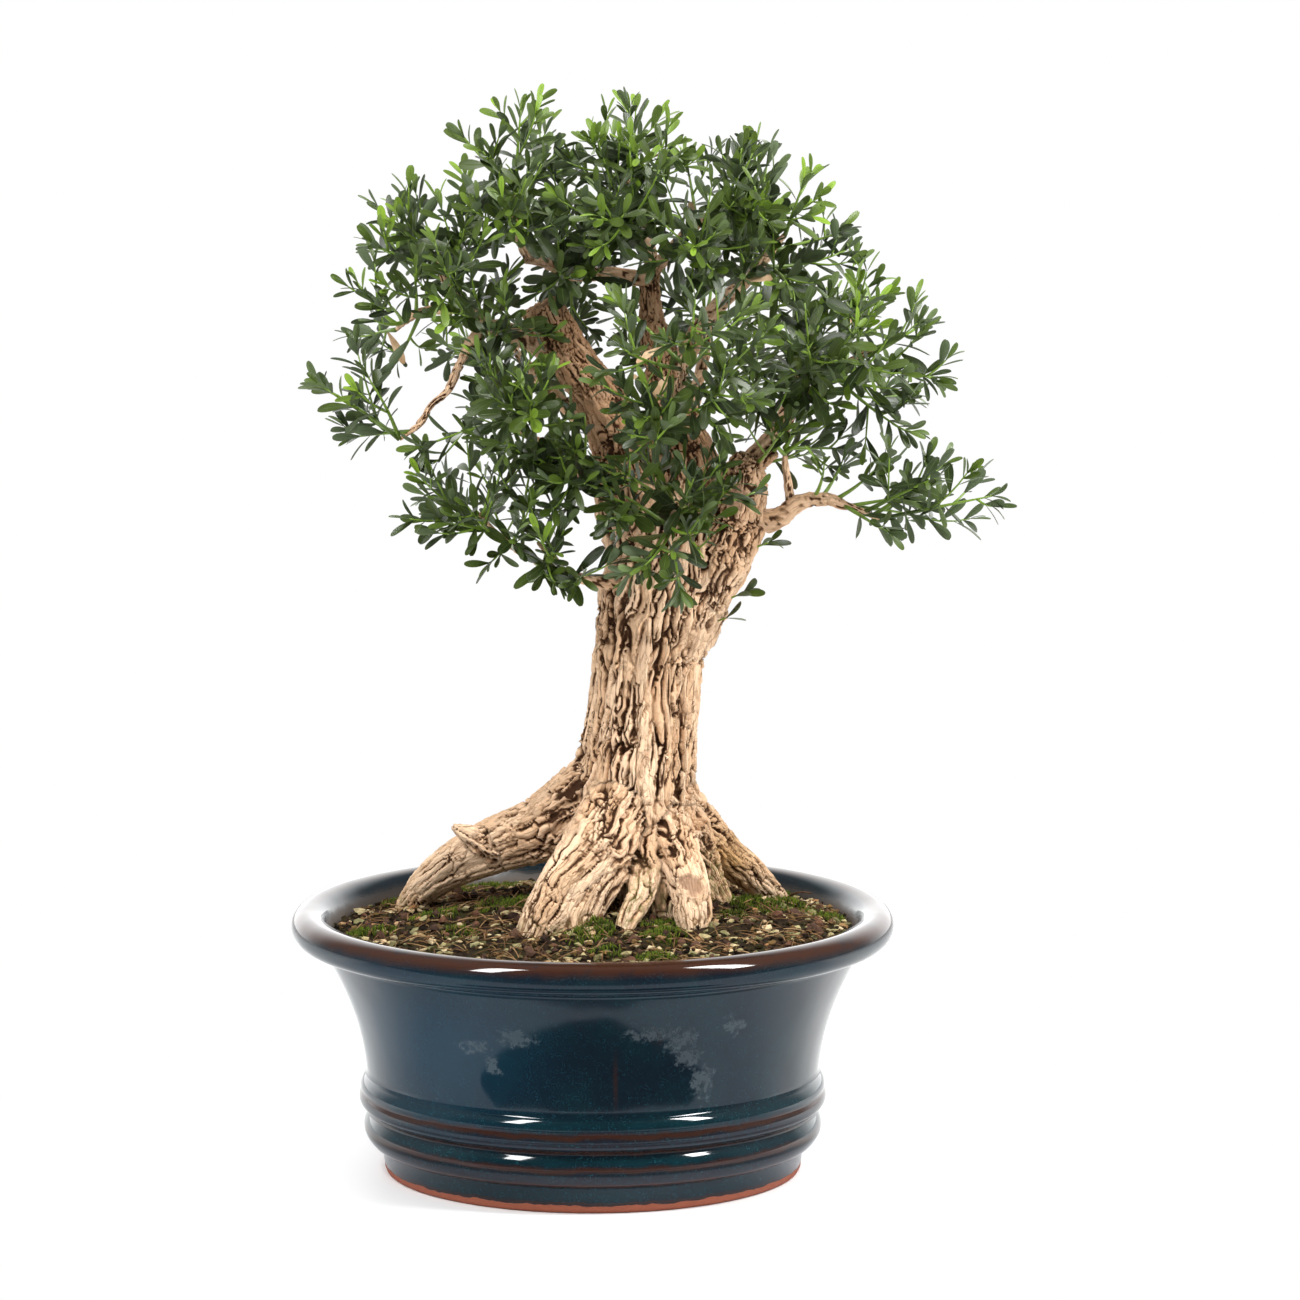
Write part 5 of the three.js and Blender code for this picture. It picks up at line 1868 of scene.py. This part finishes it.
@dataclass
class Soil:
    """Soil, grit, litter and moss. Sizes are in millimetres.

    Rows of moss are [x, y, radius, density]. Grains are of the first kind whose limit their draw is above.
    """

    effects: Effects
    wood: Wood
    edge: float = 145.0
    edge_radius: float = 157.2
    level_radius: float = 148.0
    mound: float = 5.0
    lump: float = 1.5
    heap: float = 16.0
    heap_radius: float = 104.0
    heap_middle: Pair = (22.0, 14.0)
    walls: tuple[Pair, ...] = ((137.0, 102.0), (128.0, 59.0), (119.0, 22.0), (111.0, 14.5))
    grains: int = 4300
    grits: tuple[Grit, ...] = (
        Grit(
            "pumice_grit", "pumice", above=0.76, smallest=2.2, spread=3.6, power=1.6, squash=0.5,
            seeds=range(5), rough=0.62, stain=(0.1, 0.09, 0.03), shades=(
                (0.1, 0.08, 0.03), (0.27, 0.25, 0.12), (0.46, 0.38, 0.19), (0.72, 0.56, 0.34),
                (0.34, 0.15, 0.05),
            ),
        ),
        Grit(
            "lava_grit", "lava", above=0.66, smallest=2.0, spread=4.0, power=1.8, squash=0.8,
            seeds=range(9, 13), rough=0.5, stain=(0.14, 0.07, 0.035), stain_share=0.3,
            shades=((0.02, 0.01, 0.007), (0.07, 0.038, 0.025), (0.15, 0.07, 0.04)),
        ),
        Grit(
            "humus_crumbs", "crumbs", above=-math.inf, smallest=1.1, spread=2.8, power=1.6, squash=0.75,
            seeds=range(19, 23), rough=0.6, stain=(0.05, 0.042, 0.008),
            shades=((0.006, 0.003, 0.001), (0.03, 0.016, 0.006), (0.19, 0.11, 0.04)),
        ),
    )
    needles: int = 1100
    twig: tuple[tuple[float, float, float], ...] = ((118, 58, 154), (124, 52, 161), (133, 44, 160))
    cushion: float = 3.4
    moss_patches: Rows = (
        (-133, -22, 15, 1), (-96, 10, 16, 0.8), (-48, 14, 24, 1), (-22, -4, 16, 1), (2, -62, 13, 1),
        (-6, -76, 11, 0.6), (40, -50, 12, 1), (42, -72, 15, 0.9), (8, -104, 11, 0.6), (38, -112, 14, 0.7),
        (92, 20, 20, 1), (118, 34, 18, 1), (142, 14, 12, 0.9), (84, -18, 10, 0.6), (-78, -44, 12, 0.5),
        (60, 120, 26, 0.9), (-60, 112, 24, 0.9), (10, 132, 16, 0.8), (-112, 74, 18, 0.8),
        (112, 92, 14, 0.8),
    )

    def height(self, x: float, y: float) -> float:
        """The height of the soil's top."""
        inward = max(0.0, 1.0 - math.hypot(x, y) / self.level_radius)
        lumps = math.sin(x * 0.19 + 1.1) * math.cos(y * 0.23 + 0.4) + math.sin(x * 0.11 - y * 0.13)
        away = math.hypot(x - self.heap_middle[0], y - self.heap_middle[1]) / self.heap_radius
        heap = self.heap * math.exp(-(away**2))
        rough = 1.1 * noise.noise(Vector((x, y, 3.0)) * 0.16) * min(1.0, inward * 12)
        return self.edge + self.mound * inward + self.lump * lumps * min(1.0, inward * 8) + heap + rough

    def build(self) -> None:
        """Makes the soil's bed, its grit, its litter and its moss."""
        self.random = random.Random(11)
        self.standing = [
            station
            for name in self.wood.lines if name == "trunk" or name.startswith("root")
            for station in self.wood.middle(name).stations(40) if station.centre.z < 205.0
        ]
        self._bed()
        self._grit()
        self._litter()
        self._moss()

    def in_wood(self, place: Vector, spare: float = 0.0) -> bool:
        """Whether a place is inside the trunk or a root."""
        return any(
            (station.centre - place).length < station.radius * 0.96 - spare
            for station in self.standing
        )

    def _place(
        self, mesh: Mesh, name: str, material: str, shades: Sequence[Colour], stain: Colour,
        stain_share: float = 0.5, nodes: Sequence[str] = (),
    ) -> None:
        """Gives a mesh an earthen finish and places it.

        Args:
            mesh: The mesh.
            name: The piece's name.
            material: The finish's name.
            shades: Its shades, from the lowest tint to the highest.
            stain: The colour of its stains.
            stain_share: How strong they are.
            nodes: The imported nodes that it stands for.
        """
        finish = EarthFinish(self.effects, material, shades, stain, stain_share)
        place_piece(mesh, name, [finish.material()], nodes)

    def _bed(self) -> None:
        """The soil itself: a disc of fine rings let down to the pot's floor."""
        bm = bmesh.new()
        bmesh.ops.create_circle(bm, cap_ends=True, cap_tris=True, segments=180, radius=self.edge_radius)
        spokes = [edge for edge in bm.edges if min(vert.co.length for vert in edge.verts) < 1.0]
        bmesh.ops.subdivide_edges(bm, edges=spokes, cuts=64, use_grid_fill=True)
        rim = [edge for edge in bm.edges if edge.is_boundary]
        for vert in bm.verts:
            outer = vert.co.length > self.edge_radius - 0.5
            vert.co.z = self.edge if outer else self.height(vert.co.x, vert.co.y)
        for radius, height in self.walls:
            grown = bmesh.ops.extrude_edge_only(bm, edges=rim)["geom"]
            verts = only(BMVert, grown)
            for vert in verts:
                share = radius / math.hypot(vert.co.x, vert.co.y)
                vert.co = Vector((vert.co.x * share, vert.co.y * share, height))
            rim = [edge for edge in only(BMEdge, grown) if set(edge.verts) <= set(verts)]
        bmesh.ops.contextual_create(bm, geom=rim)
        bmesh.ops.recalc_face_normals(bm, faces=bm.faces[:])
        mesh = mesh_of(bm, "bed")
        add_values(mesh, tint=np.array([draw(round(v.co.x), round(v.co.y)) for v in mesh.vertices]))
        shades = ((0.008, 0.004, 0.002), (0.036, 0.019, 0.008))
        self._place(mesh, "soil_bed", "humus", shades, (0.03, 0.03, 0.006), 0.6, ["soil"])

    def _turned(self, place: Vector, size: float, squash: float) -> Matrix:
        """A matrix that puts a grain down at any turn, a little flattened."""
        turn = Matrix.Rotation(self.random.uniform(0, math.tau), 3, "Z")
        lean = Matrix.Rotation(self.random.uniform(-0.6, 0.6), 3, Vector((1.0, 0.3, 0.0)))
        shape = Matrix.Diagonal((size, size * self.random.uniform(0.65, 0.95), size * squash))
        return Matrix.Translation(place) @ (turn @ lean @ shape).to_4x4()

    def _grit(self) -> None:
        """Pumice, lava and crumbs of humus over the whole top."""
        kinds = [(grit, grit.stamps(), bmesh.new()) for grit in self.grits]
        for _, _, bm in kinds:
            bm.verts.layers.float.new("tint")
        for index in range(self.grains):
            radius = (self.edge_radius - 2.0) * math.sqrt((index + 0.5) / self.grains)
            turn = math.radians(GOLDEN_ANGLE * index)
            turn += self.random.uniform(-0.3, 0.3) / max(1.0, radius * 0.1)
            radius += self.random.uniform(-1.6, 1.6)
            x, y = radius * math.cos(turn), radius * math.sin(turn)
            ground = Vector((x, y, self.height(x, y)))
            if self.in_wood(ground, 2.0):
                continue
            stony = noise.noise(Vector((x, y, 0.0)) * 0.035) - 0.0022 * (y + 30.0)
            pick = self.random.random() + 0.35 * stony
            grit, stamps, bm = next(kind for kind in kinds if pick > kind[0].above)
            size = grit.smallest + grit.spread * self.random.random() ** grit.power
            size = min(size, self.edge_radius + 1.0 - radius) if radius > self.edge_radius - 6.0 else size
            ground.z += size * grit.squash * 0.35
            stamp = stamps[self.random.randrange(len(stamps))]
            stamp.press(bm, self._turned(ground, size, grit.squash), tint=self.random.random())
        for grit, _, bm in kinds:
            mesh = mesh_of(bm, grit.name, smooth=False)
            self._place(mesh, grit.name, grit.finish, grit.shades, grit.stain, grit.stain_share)

    def _litter(self) -> None:
        """Dry needles, leaf stalks and bits of root that lie criss-cross on the soil."""
        bm = bmesh.new()
        tint = bm.verts.layers.float.new("tint")
        for _ in range(self.needles):
            radius = (self.edge_radius - 10.0) * math.sqrt(self.random.random())
            turn = self.random.uniform(0, math.tau)
            start = Vector((radius * math.cos(turn), radius * math.sin(turn), 0.0))
            way = self.random.uniform(0, math.tau)
            length = self.random.uniform(4.0, 18.0)
            end = start + Vector((math.cos(way), math.sin(way), 0.0)) * length
            if math.hypot(end.x, end.y) > self.edge_radius - 6.0:
                continue
            start.z = self.height(start.x, start.y) + 1.4
            end.z = self.height(end.x, end.y) + self.random.uniform(1.0, 4.0)
            if self.in_wood(start) or self.in_wood(end):
                continue
            bend = (start + end) / 2 + Vector((0.0, 0.0, self.random.uniform(0.5, 3.0)))
            thick = self.random.uniform(0.2, 0.6)
            verts = plain_tube(bm, Stem(start, bend, end, thick, thick * 0.5), 3, 4)
            shade = self.random.random()
            for vert in verts:
                vert[tint] = shade
        plain_tube(bm, Stem(*(Vector(point) for point in self.twig), 0.8, 0.4), 4, 6)
        bmesh.ops.recalc_face_normals(bm, faces=bm.faces[:])
        shades = ((0.06, 0.028, 0.012), (0.22, 0.12, 0.05), (0.45, 0.29, 0.14))
        self._place(mesh_of(bm, "litter"), "litter", "litter", shades, (0.2, 0.1, 0.05))

    def _moss(self) -> None:
        """Cushions of moss: many small upright spikes in patches."""
        bm = bmesh.new()
        bm.verts.layers.float.new("tint")
        spike = bmesh.new()
        bmesh.ops.create_cone(spike, cap_ends=True, segments=3, radius1=1.0, radius2=0.12, depth=2.0)
        bmesh.ops.translate(spike, verts=spike.verts[:], vec=(0.0, 0.0, 0.6))
        stamp = Stamp(mesh_of(spike, "moss_spike"), ["tint"])
        for x, y, reach, density in self.moss_patches:
            for _ in range(int(reach * reach * 1.5 * density)):
                away = reach * math.sqrt(self.random.random())
                turn = self.random.uniform(0, math.tau)
                px, py = x + away * math.cos(turn), y + away * math.sin(turn) * 0.8
                if math.hypot(px, py) > self.edge_radius - 4.0:
                    continue
                lumpy = 0.6 + 0.6 * noise.noise(Vector((px, py, 9.0)) * 0.2)
                cushion = self.cushion * (1.0 - (away / reach) ** 2) * lumpy
                ground = Vector((px, py, self.height(px, py) + cushion))
                if self.in_wood(ground, 2.0):
                    continue
                tall = self.random.uniform(1.2, 2.3)
                lean = Matrix.Rotation(self.random.uniform(-0.7, 0.7), 3, "X")
                turned = Matrix.Rotation(self.random.uniform(0, math.tau), 3, "Z")
                shape = turned @ lean @ Matrix.Diagonal((0.55, 0.55, tall))
                matrix = Matrix.Translation(ground) @ shape.to_4x4()
                stamp.press(bm, matrix, tint=self.random.random())
        shades = ((0.025, 0.04, 0.005), (0.09, 0.13, 0.012), (0.2, 0.26, 0.022))
        self._place(mesh_of(bm, "moss"), "moss", "moss", shades, (0.07, 0.1, 0.01))


@dataclass
class Studio:
    """Camera, floor and lights. Lengths are in metres and angles in degrees.

    Rows of lamps are [side from the front towards the right, rise, width, height, power in watts].
    """

    aim_x: float = 0.034617
    aim_z: float = 0.316694
    distance: float = 4.0
    elevation: float = 8.578
    frame_width: float = 0.78
    sensor: float = 36.0
    lamps: dict[str, tuple[float, ...]] = field(default_factory=lambda: {
        "softbox_left": (-44.0, 41.0, 0.27, 0.9, 24.0), "softbox_right": (61.0, 43.0, 0.3, 0.95, 37.0),
    })
    lamp_target: tuple[float, float, float] = (0.03, 0.0, 0.3)
    lamp_distance: float = 1.7
    floor_radius: float = 9.0
    floor_shades: tuple[Colour, Colour] = ((0.93, 0.93, 0.935), (0.95, 0.95, 0.95))
    mirrored_lit: Colour = (0.36, 0.39, 0.45)
    mirrored_unlit: Colour = (0.05, 0.052, 0.058)
    lit_ring: Row = (0.155, 0.17, 0.2, 0.205)
    card_radius: float = 0.264
    card_cut: float = -0.2
    card_front: float = -0.2065
    card_bend: float = 0.8
    card_corner: float = 0.02
    card_lift: float = 0.004

    def build(self) -> None:
        """Makes the camera, the floor, the lamps and the surroundings."""
        scene = bpy.context.scene
        scene.view_settings.view_transform = "Standard"
        scene.camera = self._camera()
        self._floor()
        for name, row in self.lamps.items():
            self._softbox(name, *row)
        self._surroundings()
        self._card()

    def _camera(self) -> Object:
        """The camera, at the photograph's angle, framing a square about the tree."""
        data = bpy.data.cameras.new("camera")
        data.sensor_width = self.sensor
        data.lens = self.sensor * self.distance / self.frame_width
        data.clip_end = 50.0
        camera = linked("camera", data)
        tilt = math.radians(self.elevation)
        back, rise = self.distance * math.cos(tilt), self.distance * math.sin(tilt)
        camera.location = (self.aim_x, -back, self.aim_z + rise)
        camera.rotation_euler = (math.pi / 2 - tilt, 0.0, 0.0)
        return camera

    def _floor(self) -> None:
        """A pale floor, with a darker one in its place for what the glaze mirrors."""
        bm = bmesh.new()
        bmesh.ops.create_circle(bm, cap_ends=True, segments=64, radius=self.floor_radius)
        floor = linked("floor", mesh_of(bm, "floor"))
        graph = Coat("pale_floor")
        place = graph.add("TexCoord", {}, "Object")
        shade = graph.mix(graph.noise(place, 3.0), *self.floor_shades)
        _, depth, _ = graph.parts(place)
        away = graph.length(place)
        start, full, fall, end = self.lit_ring
        ring = graph.minus(graph.step(away, start, full), graph.step(away, fall, end))
        dim = graph.mix(ring, self.mirrored_lit, self.mirrored_unlit)
        dim = graph.mix(graph.step(depth, -0.48, -0.34), self.mirrored_unlit, dim)
        dim = graph.mix(graph.step(depth, -0.15, 0.15), dim, (0.95, 0.95, 0.95))
        mirrored = graph.add("LightPath", {}, "Is Glossy Ray")
        floor.data.materials.append(
            graph.finished(colour=graph.mix(mirrored, shade, dim), roughness=0.6)
        )
        far = graph.times(graph.add("LightPath", {}, "Is Camera Ray"), graph.step(away, 0.2, 0.42))
        shader = graph.tree.nodes["Principled BSDF"].outputs[0]
        surface = graph.add("MixShader", {0: far, 1: shader, 2: graph.add("Emission", {})})
        graph.feed(graph.tree.nodes["Material Output"].inputs["Surface"], surface)

    def _softbox(
        self, name: str, azimuth: float, elevation: float, width: float, height: float, power: float
    ) -> None:
        """One square lamp that faces the tree.

        Args:
            name: The lamp's name.
            azimuth: Its side, from the front towards the right.
            elevation: Its height over the horizon.
            width: Its width.
            height: Its height.
            power: Its power in watts.
        """
        data = bpy.data.lights.new(name, "AREA")
        data.shape = "RECTANGLE"
        data.size, data.size_y, data.energy = width, height, power
        lamp = linked(name, data)
        turn, rise = math.radians(azimuth), math.radians(elevation)
        way = Vector((math.sin(turn) * math.cos(rise), -math.cos(turn) * math.cos(rise), math.sin(rise)))
        lamp.location = Vector(self.lamp_target) + way * self.lamp_distance
        lamp.rotation_euler = way.to_track_quat("Z", "Y").to_euler()

    @staticmethod
    def _surroundings() -> None:
        """White surroundings, dimmer where the studio's dark side is reflected."""
        world = bpy.data.worlds.new("surroundings")
        bpy.context.scene.world = world
        world.use_nodes = True
        graph = Graph(world.node_tree)
        graph.tree.nodes.clear()
        _, depth, height = graph.parts(graph.add("TexCoord", {}, "Generated"))
        overhead = graph.times(graph.step(height, 0.1, 0.9), 0.95)
        light = graph.most(graph.blend(graph.step(depth, -0.9, 0.2), 0.45, 1.0), overhead)
        behind = graph.times(graph.step(depth, 0.5, 0.95), 2.2)
        gloss = graph.plus(graph.blend(graph.step(depth, -0.66, 0.0), 0.04, 0.35), behind)
        strength = graph.blend(graph.add("LightPath", {}, "Is Glossy Ray"), light, gloss)
        strength = graph.blend(graph.add("LightPath", {}, "Is Camera Ray"), strength, 1.0)
        glow = graph.add("Background", {"Color": (1.0, 1.0, 1.0), "Strength": strength})
        graph.feed(graph.tree.nodes.new("ShaderNodeOutputWorld").inputs["Surface"], glow)

    def _card(self) -> None:
        """A dark card on the floor just in front of the pot, seen only in the glaze."""
        bm = bmesh.new()
        bmesh.ops.create_circle(bm, cap_ends=True, segments=96, radius=self.card_radius)
        bmesh.ops.bisect_plane(
            bm, geom=geometry(bm), plane_co=(0.0, self.card_cut, 0.0), plane_no=(0.0, 1.0, 0.0),
            clear_outer=True,
        )
        limit = self.card_cut - 0.0001
        straight = [edge for edge in bm.edges if all(vert.co.y > limit for vert in edge.verts)]
        bmesh.ops.subdivide_edges(bm, edges=straight, cuts=20)
        inner = sorted((vert for vert in bm.verts if vert.co.y > limit), key=lambda vert: vert.co.x)
        for vert in inner:
            vert.co.y = self.card_front + vert.co.x**2 / self.card_bend
        bmesh.ops.bevel(
            bm, geom=[inner[0], inner[-1]], offset=self.card_corner, offset_type="OFFSET", segments=8,
            profile=0.5, affect="VERTICES", material=-1,
        )
        bmesh.ops.translate(bm, vec=(0.0, 0.0, self.card_lift), verts=bm.verts[:])
        card = linked("dark_card", mesh_of(bm, "dark_card"))
        graph = Coat("dark_card")
        card.data.materials.append(graph.finished(colour=(0.01, 0.01, 0.012), roughness=1.0))
        card.visible_camera = False
        card.visible_diffuse = False
        card.visible_shadow = False


def dress_screens(effects: Effects) -> None:
    """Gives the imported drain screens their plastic.

    Args:
        effects: The shared shader groups.
    """
    plastic = ScreenFinish(effects).material()
    for name in ("drain_screen_left", "drain_screen_right"):
        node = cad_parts[name]
        node.data.materials.clear()
        node.data.materials.append(plastic)
        log.info("%s: dressed", name)


def main() -> None:
    """Builds the bonsai in its pot, then the studio round it."""
    logging.basicConfig(level=logging.INFO, format="%(message)s")
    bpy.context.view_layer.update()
    effects = Effects()
    wood = Wood(effects)
    Pot(effects).build()
    dress_screens(effects)
    Soil(effects, wood).build()
    wood.build()
    Foliage(effects, wood).build()
    Studio().build()


if __name__ == "__main__":
    main()
